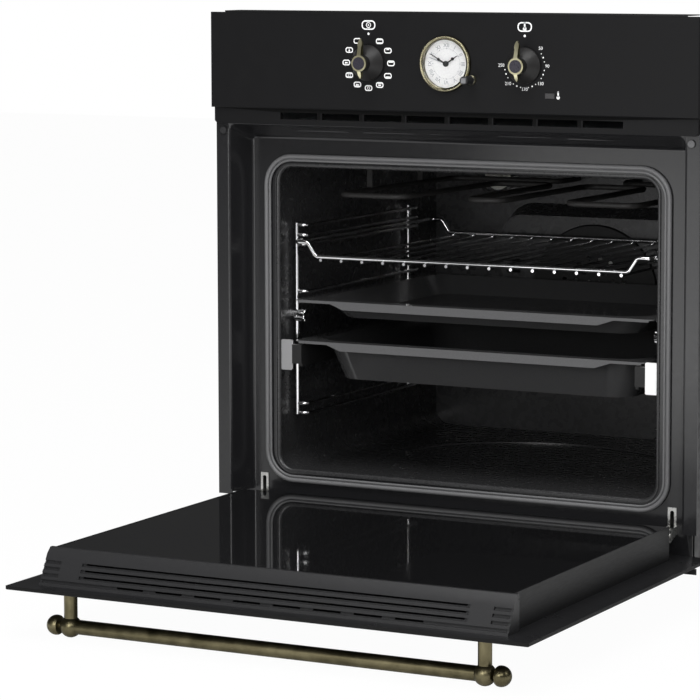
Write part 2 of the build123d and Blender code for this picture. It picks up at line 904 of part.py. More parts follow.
with BuildPart() as cooling_fan_wheel:
    with BuildSketch(cross(-cooling_wheel_length / 2)):
        with Locations((cooling_depth, cooling_height)):
            with PolarLocations(cooling_wheel_radius - cooling_blade_width / 2, cooling_blade_count):
                Rectangle(cooling_blade_width, cooling_blade_sheet, rotation=35)
    extrude(amount=cooling_wheel_length)
    for place in (-cooling_wheel_length / 2, -0.6, cooling_wheel_length / 2 - 1.2):
        with BuildSketch(cross(place)):
            with Locations((cooling_depth, cooling_height)):
                Circle(cooling_wheel_radius)
        extrude(amount=1.2)
    with BuildSketch(cross(-shell_half + 0.5)):
        with Locations((cooling_depth, cooling_height)):
            Circle(cooling_shaft / 2)
    extrude(amount=2 * shell_half + 30)
write(cooling_fan_wheel, "cooling_fan_wheel")

with BuildPart() as cooling_fan_motor:
    with BuildSketch(cross(shell_half)):
        with Locations((cooling_depth, cooling_height)):
            RectangleRounded(60, 56, 5)
    extrude(amount=18)
    with BuildSketch(cross(shell_half + 18)):
        with Locations((cooling_depth, cooling_height)):
            Circle(20)
    extrude(amount=20)
    with BuildSketch(cross(shell_half)):
        with Locations((cooling_depth, cooling_height)):
            Circle(cooling_shaft / 2 + running_clearance)
    extrude(amount=34, mode=Mode.SUBTRACT)
write(cooling_fan_motor, "cooling_fan_motor")

# Side racks: two upright wires, a top rail and four levels of paired guide wires

levels = [level_low + level_pitch * n for n in range(level_count)]
rails = [rack_rail_top]
for height in levels:
    rails += [height, height + guide_gap]


def rack_rail(side, z):
    """One guide wire, bent to the uprights at both ends."""
    return bar(
        [
            (side * rack_post_half, rack_front, z),
            (side * rack_half, rack_front, z),
            (side * rack_half, rack_back, z),
            (side * rack_post_half, rack_back, z),
        ],
        rack_bend,
        rack_wire,
    )


def side_rack(side):
    """One chrome rack with the eyes of its two fixings."""
    wires = [rack_rail(side, z) for z in rails]
    with BuildPart() as rack:
        for wire in wires:
            add(wire)
        for place in (rack_front, rack_back):
            with BuildSketch(level(rack_low)):
                with Locations((side * rack_post_half, place)):
                    Circle(rack_post_wire / 2)
            extrude(amount=rack_top - rack_low)
            with BuildSketch(cross(side * rack_post_half - rack_eye / 2)):
                with Locations((place, rack_nut_height)):
                    Circle(rack_nut / 2)
            extrude(amount=rack_eye)
            with BuildSketch(cross(side * rack_post_half - rack_post_wire)):
                with Locations((place, rack_nut_height)):
                    Circle(rack_nut / 4)
            extrude(amount=2 * rack_post_wire, mode=Mode.SUBTRACT)
    return rack


write(side_rack(-1), "side_rack_left")
write(side_rack(1), "side_rack_right")

wall_gap = cavity_width / 2 - rack_post_half
eye_gap = rack_eye / 2 + 0.2
stud_radius = rack_nut / 4 - 0.1
nut_profile = [
    (-wall_gap, 0),
    (-wall_gap, rack_nut / 2),
    (-eye_gap, rack_nut / 2),
    (-eye_gap, stud_radius),
    (eye_gap, stud_radius),
    (eye_gap, rack_nut / 2 - 1),
    (eye_gap + nut_length - 1.8, rack_nut / 2 - 1),
    (eye_gap + nut_length, stud_radius),
    (eye_gap + nut_length, 0),
]
with BuildPart() as rack_nuts:
    for place in (rack_front, rack_back):
        nut_centre = (rack_post_half, front_y + place, rack_nut_height)
        with BuildSketch(Plane(origin=nut_centre, x_dir=(-1, 0, 0), z_dir=(0, 1, 0))):
            with BuildLine():
                Polyline(*nut_profile, close=True)
            make_face()
        revolve(axis=Axis(nut_centre, (1, 0, 0)))
    mirror(about=Plane.YZ)
write(rack_nuts, "rack_nuts")

# Wire shelf: a frame that dips between its shoulders, with wires under its front and rear rails

shelf_height = levels[3] + rack_wire / 2 + sliding_clearance + shelf_frame_wire / 2
dip_height = shelf_height - shelf_dip


half_frame = bar(
    [
        (0, shelf_front, dip_height),
        (shelf_dip_half, shelf_front, dip_height),
        (shelf_shoulder, shelf_front, shelf_height),
        (shelf_half, shelf_front, shelf_height),
        (shelf_half, shelf_rear, shelf_height),
        (shelf_shoulder, shelf_rear, shelf_height),
        (shelf_dip_half, shelf_rear, dip_height),
        (0, shelf_rear, dip_height),
    ],
    shelf_bend,
    shelf_frame_wire,
)
wire_drop = (shelf_frame_wire + shelf_wire) / 2 - weld
with BuildPart() as wire_shelf:
    add(half_frame)
    mirror(about=Plane.YZ)
    with BuildSketch(facing(shelf_front - shelf_frame_wire / 2)):
        with Locations((0, dip_height - wire_drop)):
            with GridLocations(shelf_wire_pitch, 0, shelf_wire_count, 1):
                Circle(shelf_wire / 2)
    extrude(amount=shelf_front - shelf_rear - shelf_frame_wire)
write(wire_shelf, "wire_shelf")


def pressed_tray(half, front, rear, rim_height, depth, rim):
    """A pressed and enamelled tray: flat rim with a lip in front, flared shoulder, drafted walls."""
    rim_front = front + lip_lean
    length = rear - rim_front
    middle = (rim_front + rear) / 2
    slope = sqrt(lip_lean**2 + lip_drop**2) / lip_drop
    lip_plane = Plane(
        origin=(0, front_y + rim_front, rim_height),
        x_dir=(1, 0, 0),
        z_dir=(0, -lip_drop, lip_lean),
    )
    lip_points = [
        (half - rim_corner, 0),
        (half - rim_corner, -lip_edge * slope),
        (lip_half + lip_taper, -lip_edge * slope),
        (lip_half, -lip_drop * slope),
    ]
    lip_points += [(-x, z) for x, z in reversed(lip_points)]

    def outline(z, inset, corner):
        with BuildSketch(level(z)) as shape:
            with Locations((0, middle)):
                RectangleRounded(2 * (half - inset), length - 2 * inset, corner)
        return shape.sketch

    low = rim_height - depth
    shoulder = rim_height - tray_flare
    foot = rim + tray_flare + tray_draft
    outer_top = outline(rim_height - tray_sheet, rim, tray_corner)
    outer_neck = outline(shoulder, rim + tray_flare, tray_corner)
    outer_low = outline(low, foot, tray_corner - 6)
    inner_top = outline(rim_height, rim + tray_sheet, tray_corner - tray_sheet)
    inner_neck = outline(shoulder, rim + tray_flare + tray_sheet, tray_corner - tray_sheet)
    inner_low = outline(low + tray_sheet, foot + tray_sheet, tray_corner - 6 - tray_sheet)
    with BuildPart() as tray:
        with BuildSketch(level(rim_height - tray_sheet)):
            with Locations((0, middle)):
                RectangleRounded(2 * half, length, rim_corner)
        extrude(amount=tray_sheet)
        loft([outer_top, outer_neck])
        loft([outer_neck, outer_low])
        loft([inner_top, inner_neck], mode=Mode.SUBTRACT)
        loft([inner_neck, inner_low], mode=Mode.SUBTRACT)
        with BuildSketch(lip_plane):
            with BuildLine():
                Polyline(*lip_points, close=True)
            make_face()
        extrude(amount=-tray_sheet)
    return tray


tray_height = levels[2] + rack_wire / 2 + sliding_clearance + tray_sheet
write(pressed_tray(tray_half, tray_front, tray_rear, tray_height, tray_depth, tray_rim), "shallow_tray")

# Telescopic runners on the second level, and the deep pan that they carry

runner_outer = rack_half - rack_wire / 2
rail_inner = runner_outer - runner_sheet
middle_outer = rail_inner - runner_gap
middle_inner = middle_outer - middle_sheet
slide_outer = middle_inner - runner_gap
slide_inner = slide_outer - slide_sheet
slide_top = runner_low + runner_height + 6
pan_height = slide_top + tray_sheet


def channel(side, outer, sheet, low, height, front, rear):
    """A runner strip rolled to a channel, its lips turned away from the rack."""
    lip = 1.0
    inner = outer - sheet
    with BuildPart() as strip:
        with BuildSketch(facing(front)):
            with Locations((side * (inner + outer) / 2, low + height / 2)):
                Rectangle(sheet, height)
            with Locations((side * (inner + sheet * 0.25), low + height / 2)):
                Rectangle(sheet * 0.5, height - 4 * lip, mode=Mode.SUBTRACT)
        extrude(amount=front - rear)
    return strip.part


rail_strips = [
    channel(side, runner_outer, runner_sheet, runner_low, runner_height, runner_front, runner_rear)
    for side in (-1, 1)
]
with BuildPart() as runner_rails:
    for strip in rail_strips:
        add(strip)
write(runner_rails, "runner_rails")

middle_strips = [
    channel(
        side,
        middle_outer,
        middle_sheet,
        runner_low + middle_inset,
        runner_height - 2 * middle_inset,
        runner_front,
        runner_rear,
    )
    for side in (-1, 1)
]
with BuildPart() as runner_middles:
    for strip in middle_strips:
        add(strip)
write(runner_middles, "runner_middles")

plate_high = pan_height + 1
plate_low = plate_high - end_plate_height
plate_inner = pan_half + 0.4
with BuildPart() as runner_slides:
    with BuildSketch(facing(slide_front)):
        with Locations(((slide_inner + slide_outer) / 2, (runner_low + slide_top) / 2)):
            Rectangle(slide_sheet, slide_top - runner_low)
        with Locations(((slide_inner + runner_outer) / 2, slide_top - 0.6)):
            Rectangle(runner_outer - slide_inner, 1.2)
    extrude(amount=slide_front - runner_rear)
    with BuildSketch(facing(slide_front)):
        with Locations(((slide_inner + runner_outer) / 2, pan_height - 2 * sliding_clearance)):
            Rectangle(runner_outer - slide_inner, 2 * lip_edge)
    extrude(amount=-lip_lean - 2 * tray_sheet, mode=Mode.SUBTRACT)
    with BuildSketch(facing(slide_front - end_plate_thickness)):
        with Locations((plate_inner + end_plate_width / 2, (plate_high + plate_low) / 2)):
            RectangleRounded(end_plate_width, end_plate_height, 1.5)
        with Locations(((slide_inner + plate_inner + 2) / 2, (runner_low + slide_top) / 2)):
            Rectangle(plate_inner + 2 - slide_inner, runner_height)
    extrude(amount=-end_plate_thickness)
    mirror(about=Plane.YZ)
write(runner_slides, "runner_slides")
write(pressed_tray(pan_half, pan_front, pan_rear, pan_height, pan_depth, pan_rim), "deep_pan")

# Hinge cases behind the seat, each with two ears and a riveted pin

pin_half = hinge_case_width / 2
slot_low = hinge_case_low + 4
slot_middle = slot_low + hinge_slot_height / 2
case_front = seat_depth - 1
case_rear = seat_depth + hinge_case_length


def hinge_case(x):
    """One hinge case: a folded channel with an open slot in its face."""
    with BuildPart() as case:
        with BuildSketch(facing(case_front)):
            with Locations((x, hinge_case_middle)):
                Rectangle(hinge_case_width, hinge_case_height)
        extrude(amount=case_front - case_rear)
        with BuildSketch(facing(case_front)):
            with Locations((x, slot_middle)):
                SlotOverall(hinge_slot_height, hinge_slot_width, rotation=90)
        extrude(amount=case_front - case_rear + hinge_case_wall, mode=Mode.SUBTRACT)
        with BuildSketch(cross(x - pin_half)):
            with Locations((hinge_depth, hinge_height)):
                Circle(hinge_ear_radius)
            with BuildLine():
                Polyline(
                    (hinge_depth, hinge_height - hinge_ear_radius),
                    (case_front, hinge_case_low),
                    (case_front, hinge_height + hinge_ear_radius),
                    (hinge_depth, hinge_height + hinge_ear_radius),
                    close=True,
                )
            make_face()
        extrude(amount=hinge_case_wall)
        with BuildSketch(cross(x + pin_half)):
            with Locations((hinge_depth, hinge_height)):
                Circle(hinge_ear_radius)
            with BuildLine():
                Polyline(
                    (hinge_depth, hinge_height - hinge_ear_radius),
                    (case_front, hinge_case_low),
                    (case_front, hinge_height + hinge_ear_radius),
                    (hinge_depth, hinge_height + hinge_ear_radius),
                    close=True,
                )
            make_face()
        extrude(amount=-hinge_case_wall)
        with BuildSketch(cross(x - pin_half - 0.8)):
            with Locations((hinge_depth, hinge_height)):
                Circle(hinge_pin / 2)
        extrude(amount=hinge_case_width + 1.6)
    return case.part


case_solids = [hinge_case(-hinge_place), hinge_case(hinge_place)]
with BuildPart() as hinge_bodies:
    for solid in case_solids:
        add(solid)
write(hinge_bodies, "hinge_bodies")

# Door, drawn open. Heights are those of the open door.

outer_low = hinge_height - hinge_depth - door_proud
outer_top = outer_low + outer_glass
inner_top = outer_low + door_thickness
inner_low = inner_top - inner_glass
middle_low = outer_top + middle_glass_lift
door_rear = hinge_depth + door_tail
box_half = door_box_width / 2
spacer_inner = spacer_place - spacer_width / 2
spacer_outer = spacer_place + spacer_width / 2

with BuildPart() as door_outer_glass:
    with BuildSketch(level(outer_low)):
        with Locations((0, (door_front + door_rear) / 2)):
            RectangleRounded(front_width, door_rear - door_front, 2)
    extrude(amount=outer_glass)
    chamfer(door_outer_glass.edges().group_by(Axis.Z)[0], 0.8)
    with BuildSketch(level(outer_low)):
        with Locations((0, handle_place)):
            with GridLocations(2 * handle_half, 0, 2, 1):
                Circle(handle_post / 4)
    extrude(amount=outer_glass, mode=Mode.SUBTRACT)
write(door_outer_glass, "door_outer_glass")

with BuildPart() as door_inner_glass:
    with BuildSketch(level(inner_low)):
        with Locations((0, (box_front + box_tail) / 2)):
            Rectangle(2 * (box_half - door_sheet), box_tail - box_front)
    extrude(amount=inner_glass)
    chamfer(door_inner_glass.edges().group_by(Axis.Z)[-1], 0.6)
write(door_inner_glass, "door_inner_glass")

with BuildPart() as door_middle_glass:
    with BuildSketch(level(middle_low)):
        with Locations((0, (box_front + box_tail) / 2 - 4)):
            Rectangle(2 * (spacer_inner + spacer_groove), box_tail - box_front - 20)
    extrude(amount=middle_glass)
write(door_middle_glass, "door_middle_glass")

with BuildPart() as glass_spacers:
    with BuildSketch(facing(box_front + 6)):
        with Locations((spacer_place, (outer_top + inner_low) / 2)):
            Rectangle(spacer_width, inner_low - outer_top)
        with Locations((spacer_inner + spacer_groove / 2, middle_low + middle_glass / 2)):
            Rectangle(spacer_groove, middle_glass, mode=Mode.SUBTRACT)
    extrude(amount=box_front - box_tail + 12)
    mirror(about=Plane.YZ)
write(glass_spacers, "glass_spacers")

web_height = inner_top + door_lip - outer_top
with BuildPart() as door_side_profiles:
    with BuildSketch(facing(box_front)):
        with BuildLine():
            Polyline(
                (box_half, outer_top),
                (box_half, outer_top + web_height),
                (box_half - door_sheet, outer_top + web_height),
                (box_half - door_sheet, inner_low),
                (box_half - 5, inner_low),
                (box_half - 5, inner_low - door_sheet),
                (box_half - door_sheet, inner_low - door_sheet),
                (box_half - door_sheet, outer_top + door_sheet),
                (box_half - 5, outer_top + door_sheet),
                (box_half - 5, outer_top),
                close=True,
            )
        make_face()
    extrude(amount=box_front - box_tail)
    mirror(about=Plane.YZ)
write(door_side_profiles, "door_side_profiles")

# Moulding along the top of the door, at the front of the open door: fins, pads and slots

brow_top = inner_top + door_lip
toe_front = door_front + trim_toe
face_rise = brow_top - trim_brow - outer_top
face_run = box_front - trim_brow - 4 - toe_front
fin_pitch = face_rise / fin_count


def on_face(rise):
    """Depth of the moulding's sloped face at a height above the outer glass."""
    return toe_front + face_run * rise / face_rise


face_points = []
for n in range(fin_count):
    base = n * fin_pitch
    face_points += [
        (on_face(base), outer_top + base),
        (on_face(base + fin_height), outer_top + base + fin_height),
    ]
    if n < fin_count - 1:
        face_points += [
            (on_face(base + fin_height) + fin_step, outer_top + base + fin_height),
            (on_face(base + fin_pitch) + fin_step, outer_top + base + fin_pitch),
        ]
trim_half = door_trim_width / 2
with BuildPart() as door_top_trim:
    with BuildSketch(cross(-trim_half)):
        with BuildLine():
            Polyline(
                *face_points,
                (on_face(face_rise), outer_top + face_rise),
                (box_front - 4, brow_top),
                (box_front, brow_top),
                (box_front, inner_low),
                (box_front - 2, inner_low),
                (on_face(face_rise) + fin_step + trim_wall, outer_top + face_rise - trim_wall),
                (on_face(0) + fin_step + trim_wall, outer_top + trim_wall),
                (box_front, outer_top + trim_wall),
                (box_front, outer_top),
                close=True,
            )
        make_face()
    extrude(amount=2 * trim_half)
    for side in (-1, 1):
        with BuildSketch(cross(side * pad_place - pad_width / 2)):
            with BuildLine():
                Polyline(
                    (on_face(fin_pitch), outer_top + fin_pitch),
                    (on_face(face_rise), outer_top + face_rise),
                    (on_face(face_rise) + fin_step, outer_top + face_rise),
                    (on_face(fin_pitch) + fin_step, outer_top + fin_pitch),
                    close=True,
                )
            make_face()
        extrude(amount=pad_width)
    for side in (-1, 1):
        with BuildSketch(cross(side * (trim_half - 1) - 1)):
            with BuildLine():
                Polyline(
                    (on_face(0) + 1, outer_top),
                    (on_face(face_rise) + 1, outer_top + face_rise),
                    (box_front, outer_top + face_rise),
                    (box_front, outer_top),
                    close=True,
                )
            make_face()
        extrude(amount=2)
    slot_run = 2 * (pad_place - pad_width / 2) - 8
    for n in range(1, fin_count - 1):
        groove = outer_top + n * fin_pitch + (fin_pitch + fin_height) / 2
        with BuildSketch(facing(toe_front)):
            with Locations((0, groove)):
                Rectangle(slot_run, (fin_pitch - fin_height) * 0.5)
        extrude(amount=toe_front - on_face(face_rise) - fin_step - trim_wall, mode=Mode.SUBTRACT)
    groove = outer_top + (fin_pitch + fin_height) / 2
    with BuildSketch(facing(toe_front)):
        with Locations((0, groove)):
            with GridLocations(vent_pitch, 0, vent_count, 1):
                Rectangle(vent_length, (fin_pitch - fin_height) * 0.6)
    extrude(amount=toe_front - on_face(face_rise) - fin_step - trim_wall, mode=Mode.SUBTRACT)
write(door_top_trim, "door_top_trim")

with BuildPart() as door_bottom_trim:
    with BuildSketch(level(outer_top)):
        with Locations((0, box_tail - 2.5)):
            Rectangle(2 * spacer_inner, 5)
    extrude(amount=inner_low - outer_top)
    with BuildSketch(facing(box_tail)):
        with Locations((0, (outer_top + inner_low) / 2)):
            with GridLocations(60, 0, 7, 1):
                SlotOverall(40, 8)
    extrude(amount=5, mode=Mode.SUBTRACT)
write(door_bottom_trim, "door_bottom_trim")

arm_front = hinge_depth - hinge_arm_length
with BuildPart() as hinge_arms:
    with BuildSketch(cross(hinge_place - hinge_arm_width / 2)):
        with Locations((hinge_depth, hinge_height)):
            Circle(hinge_arm_radius)
        with Locations(((arm_front + hinge_depth) / 2, hinge_height)):
            Rectangle(hinge_arm_length, 2 * hinge_arm_radius)
    extrude(amount=hinge_arm_width)
    with BuildSketch(cross(hinge_place)):
        with Locations((arm_front + 20, hinge_height)):
            Rectangle(30, hinge_arm_radius)
    extrude(amount=box_half - door_sheet - hinge_place)
    with BuildSketch(cross(spacer_outer)):
        with Locations((arm_front + 20, hinge_height)):
            Rectangle(30, hinge_arm_radius)
    extrude(amount=hinge_place - spacer_outer)
    with BuildSketch(cross(hinge_place - hinge_arm_width / 2)):
        with Locations((hinge_depth, hinge_height)):
            Circle(hinge_pin / 2 + running_clearance)
    extrude(amount=hinge_arm_width, mode=Mode.SUBTRACT)
    mirror(about=Plane.YZ)
write(hinge_arms, "hinge_arms")

# Handle: posts with ball joints and mushroom finials, and the bar between them

ball_height = outer_low - handle_drop
ball_y = front_y + handle_place
dome_middle = finial_reach - finial_width / 2
dome_radius = finial_width / 2
dome_foot = sqrt(dome_radius**2 - finial_flat**2)
with BuildPart() as handle_posts:
    with BuildSketch(level(ball_height)):
        with Locations((handle_half, handle_place)):
            Circle(handle_post / 2)
    extrude(amount=handle_drop)
    with BuildSketch(level(outer_low)):
        with Locations((handle_half, handle_place)):
            Circle(handle_post / 4 - 0.1)
    extrude(amount=outer_glass)
    with Locations((handle_half, ball_y, ball_height)):
        Sphere(handle_ball / 2)
    with BuildSketch(Plane(origin=(handle_half, ball_y, ball_height), x_dir=(1, 0, 0), z_dir=(0, -1, 0))):
        with BuildLine():
            Polyline(
                (finial_reach, 0),
                (0, 0),
                (0, finial_neck / 2),
                (dome_middle - finial_flat - 1.5, finial_neck / 2),
                (dome_middle - finial_flat - 1.5, dome_foot - 1),
                (dome_middle - finial_flat, dome_foot),
            )
            ThreePointArc(
                (dome_middle - finial_flat, dome_foot),
                (dome_middle + dome_radius * sin(radians(45)), dome_radius * cos(radians(45))),
                (finial_reach, 0),
            )
        make_face()
    revolve(axis=Axis((handle_half, ball_y, ball_height), (1, 0, 0)))
    with BuildSketch(cross(handle_half - handle_ball)):
        with Locations((handle_place, ball_height)):
            Circle(handle_bar / 2 + running_clearance)
    extrude(amount=handle_ball - post_socket, mode=Mode.SUBTRACT)
    mirror(about=Plane.YZ)
write(handle_posts, "handle_posts")

with BuildPart() as handle_rod:
    with BuildSketch(cross(post_socket - handle_half)):
        with Locations((handle_place, ball_height)):
            Circle(handle_bar / 2)
    extrude(amount=2 * (handle_half - post_socket))
write(handle_rod, "handle_bar")

# Control panel, its carrier and the air outlet

with BuildPart() as control_panel:
    with BuildSketch(facing(0)):
        with Locations((0, panel_low + panel_height / 2)):
            Rectangle(front_width, panel_height)
        with Locations((-knob_place, knob_height), (knob_place, knob_height)):
            Circle(spindle_hole / 2, mode=Mode.SUBTRACT)
        with Locations((0, clock_height)):
            Circle(bezel_barrel + 0.1, mode=Mode.SUBTRACT)
        with Locations((setting_place, clock_height - setting_drop)):
            Circle(setting_barrel * 0.6, mode=Mode.SUBTRACT)
        with Locations((pilot_place, pilot_height)):
            Rectangle(pilot_width, pilot_rise, mode=Mode.SUBTRACT)
    extrude(amount=-panel_glass)
    bevelled = control_panel.edges().group_by(Axis.Y)[0].filter_by(GeomType.LINE)
    chamfer(bevelled.filter_by(lambda e: e.length > panel_height / 2), panel_bevel)
write(control_panel, "control_panel")

carrier_top = front_height + carrier_rise
with BuildPart() as panel_carrier:
    with BuildSketch(facing(panel_glass)):
        with Locations((0, (panel_low + carrier_top) / 2)):
            Rectangle(carrier_width, carrier_top - panel_low)
        with Locations((-knob_place, knob_height), (knob_place, knob_height)):
            Circle(spindle_hole / 2, mode=Mode.SUBTRACT)
        with Locations((0, clock_height)):
            Circle(bezel_barrel + 0.1, mode=Mode.SUBTRACT)
        with Locations((setting_place, clock_height - setting_drop)):
            Circle(setting_barrel * 0.6, mode=Mode.SUBTRACT)
        with Locations((pilot_place, pilot_height)):
            Rectangle(pilot_width, pilot_rise, mode=Mode.SUBTRACT)
    extrude(amount=-carrier_sheet)
    with BuildSketch(facing(carrier_back)):
        with Locations((0, carrier_top - carrier_sheet / 2)):
            Rectangle(carrier_width, carrier_sheet)
        with Locations((0, panel_low + carrier_sheet / 2)):
            Rectangle(2 * casing_inner, carrier_sheet)
        with Locations((-casing_inner + carrier_sheet / 2, (panel_low + side_top) / 2)):
            Rectangle(carrier_sheet, side_top - panel_low)
        with Locations((casing_inner - carrier_sheet / 2, (panel_low + side_top) / 2)):
            Rectangle(carrier_sheet, side_top - panel_low)
    extrude(amount=-carrier_flange)
write(panel_carrier, "panel_carrier")

with BuildPart() as air_outlet_trim:
    with BuildSketch(facing(outlet_depth)):
        with Locations((0, (outlet_low + panel_low) / 2)):
            Rectangle(outlet_width, panel_low - outlet_low)
        with Locations((0, duct_middle)):
            with GridLocations(outlet_pitch, 0, outlet_count, 1):
                Rectangle(outlet_hole, outlet_hole_height, mode=Mode.SUBTRACT)
    extrude(amount=outlet_depth - frame_depth)
    low_corners = air_outlet_trim.edges().filter_by(Axis.Y).group_by(Axis.Z)[0]
    chamfer(low_corners, 3)
write(air_outlet_trim, "air_outlet_trim")

# Knobs: a domed skirt with its spindle, and a brass pointer with a dark cap

pointer_back = -knob_length


def knob(x):
    """Domed skirt, hub and spindle of one knob."""
    rim = -knob_gap
    face = -knob_length
    with BuildPart() as piece:
        with BuildSketch(Plane(origin=(x, front_y, knob_height), x_dir=(1, 0, 0), z_dir=(0, 0, 1))):
            with BuildLine():
                Line((0, rim), (knob_radius, rim))
                Line((knob_radius, rim), (knob_radius, rim - 3))
                ThreePointArc((knob_radius, rim - 3), (knob_radius * 0.72, -9.5), (knob_hub, -13.5))
                Line((knob_hub, -13.5), (knob_hub, face))
                Line((knob_hub, face), (0, face))
                Line((0, face), (0, rim))
            make_face()
        revolve(axis=Axis((x, front_y, knob_height), (0, 1, 0)))
        with BuildSketch(facing(rim, x, knob_height)):
            Circle(spindle / 2)
        extrude(amount=rim - carrier_back - switch_length * 0.5)
    return piece


def pointer(x):
    """Brass pointer: a deep blade with a leaf at its tip, a ring, and the cap over its screw."""
    front = pointer_back - pointer_thickness
    tip = knob_height + pointer_length
    tail = knob_height - pointer_tail
    with BuildPart() as piece:
        with BuildSketch(facing(front, x, knob_height)):
            with BuildLine():
                Line((0, 0), (2.8, 0))
                Line((2.8, 0), (2.0, pointer_neck))
                Line((2.0, pointer_neck), (2.5, pointer_neck + 1.2))
                ThreePointArc((2.5, pointer_neck + 1.2), (2.0, pointer_length - 3.0), (0, pointer_length))
                Line((0, pointer_length), (0, 0))
            make_face()
            with BuildLine():
                Polyline((0, 0), (2.6, 0), (1.8, -pointer_tail * 0.8), (0, -pointer_tail), close=True)
            make_face()
            mirror(about=Plane.YZ)
        extrude(amount=-pointer_blade)
        with BuildSketch(cross(x - knob_hub)):
            with BuildLine():
                Polyline(
                    (front, knob_height + knob_hub),
                    (front + pointer_lean, tip),
                    (front + pointer_blade, tip),
                    (front + pointer_blade, tail),
                    (front + pointer_lean, tail),
                    (front, knob_height - knob_hub),
                    close=True,
                )
            make_face()
        extrude(amount=2 * knob_hub, mode=Mode.INTERSECT)
        with BuildSketch(facing(pointer_back, x, knob_height)):
            Circle(knob_hub)
        extrude(amount=pointer_thickness)
        with BuildSketch(facing(pointer_back, x, knob_height)):
            Circle(knob_hub + 1)
        extrude(amount=-pointer_blade, mode=Mode.SUBTRACT)
        with BuildSketch(facing(front, x, knob_height)):
            Circle(pointer_cap + 0.4)
        extrude(amount=-1.2, mode=Mode.SUBTRACT)
        with BuildSketch(facing(front + 1.2, x, knob_height)):
            Circle(pointer_cap)
        extrude(amount=1.8)
        fillet(piece.edges().group_by(Axis.Y)[0], 0.4)
    return piece


write(knob(-knob_place), "function_knob")
write(pointer(-knob_place), "function_pointer")
write(knob(knob_place), "thermostat_knob")
write(pointer(knob_place), "thermostat_pointer")


def switch_body(x, corner):
    """Housing behind the carrier that takes one spindle."""
    with BuildPart() as piece:
        with BuildSketch(facing(carrier_back, x, knob_height)):
            RectangleRounded(switch_size, switch_size, corner)
        extrude(amount=-switch_length)
        with BuildSketch(facing(carrier_back, x, knob_height)):
            Circle(spindle / 2 + running_clearance)
        extrude(amount=-switch_length * 0.5 - 1, mode=Mode.SUBTRACT)
        with BuildSketch(facing(carrier_back + switch_length, x, knob_height)):
            with GridLocations(10, 12, 3, 2):
                Rectangle(6, 0.8)
        extrude(amount=-8)
    return piece


write(switch_body(-knob_place, 3), "function_switch")
write(switch_body(knob_place, 12), "thermostat")

# Clock: bezel, dial, lens, movement, three hands and the setting knob

clock_centre = (0, front_y, clock_height)
clock_plane = Plane(origin=clock_centre, x_dir=(1, 0, 0), z_dir=(0, 0, 1))
clock_axis = Axis(clock_centre, (0, 1, 0))
lens_front = -bezel_rise + 0.8
with BuildPart() as clock_bezel:
    with BuildSketch(clock_plane):
        with BuildLine():
            Line((bezel_bore, bezel_depth), (bezel_barrel, bezel_depth))
            Line((bezel_barrel, bezel_depth), (bezel_barrel, 0))
            Line((bezel_barrel, 0), (bezel_radius, 0))
            Line((bezel_radius, 0), (bezel_radius, -1.2))
            ThreePointArc((bezel_radius, -1.2), (bezel_radius - 1.9, -bezel_rise), (bezel_bore, lens_front))
            Line((bezel_bore, lens_front), (bezel_bore, bezel_depth))
        make_face()
    revolve(axis=clock_axis)
write(clock_bezel, "clock_bezel")

with BuildPart() as clock_lens:
    with BuildSketch(facing(lens_front, 0, clock_height)):
        Circle(bezel_bore)
    extrude(amount=-lens_sheet)
write(clock_lens, "clock_lens")

with BuildPart() as clock_dial:
    with BuildSketch(facing(dial_depth, 0, clock_height)):
        Circle(bezel_bore)
        Circle(arbor, mode=Mode.SUBTRACT)
    extrude(amount=-dial_sheet)
write(clock_dial, "clock_dial")

hand_step = hand_sheet + hand_gap
minute_front = dial_depth - 3 * hand_step
with BuildPart() as clock_movement:
    with BuildSketch(facing(dial_depth + dial_sheet, 0, clock_height)):
        Circle(bezel_bore - 0.1)
    extrude(amount=-movement_length)
    with BuildSketch(facing(dial_depth + dial_sheet, 0, clock_height)):
        Circle(arbor / 2)
    extrude(amount=dial_sheet + dial_depth - minute_front)
    with BuildSketch(facing(bezel_depth, 0, clock_height)):
        RectangleRounded(2.5 * bezel_bore, 1.5 * bezel_bore, 4)
    extrude(amount=bezel_depth - dial_depth - movement_length)
    with BuildSketch(facing(bezel_depth, setting_place, clock_height - setting_drop)):
        Circle(setting_barrel + 2)
    extrude(amount=-10)
    with BuildSketch(facing(bezel_depth, setting_place, clock_height - setting_drop)):
        Circle(1.5 + running_clearance)
    extrude(amount=-8, mode=Mode.SUBTRACT)
write(clock_movement, "clock_movement")


def hand(place, length, width, dot, angle):
    """One clock hand with its ring on the arbor, turned to the time shown."""
    turn = radians(angle)
    across = (cos(turn), 0, -sin(turn))
    plane = Plane(origin=(0, front_y + place, clock_height), x_dir=across, z_dir=(0, -1, 0))
    with BuildPart() as piece:
        with BuildSketch(plane):
            Circle(hand_hub)
            with BuildLine():
                Polyline(
                    (-width / 2, 0),
                    (-width / 4, length - 2),
                    (0, length),
                    (width / 4, length - 2),
                    (width / 2, 0),
                    close=True,
                )
            make_face()
            with Locations((0, hand_dot_place)):
                Circle(dot)
            Circle(arbor / 2 + running_clearance, mode=Mode.SUBTRACT)
        extrude(amount=-hand_sheet)
    return piece


write(hand(minute_front, minute_length, 1.5, hand_dot, -60), "minute_hand")
write(hand(minute_front + hand_step, hour_length, 1.6, hand_dot, 57), "hour_hand")
write(hand(minute_front + 2 * hand_step, alarm_length, 1.4, 0.7, -72), "alarm_hand")

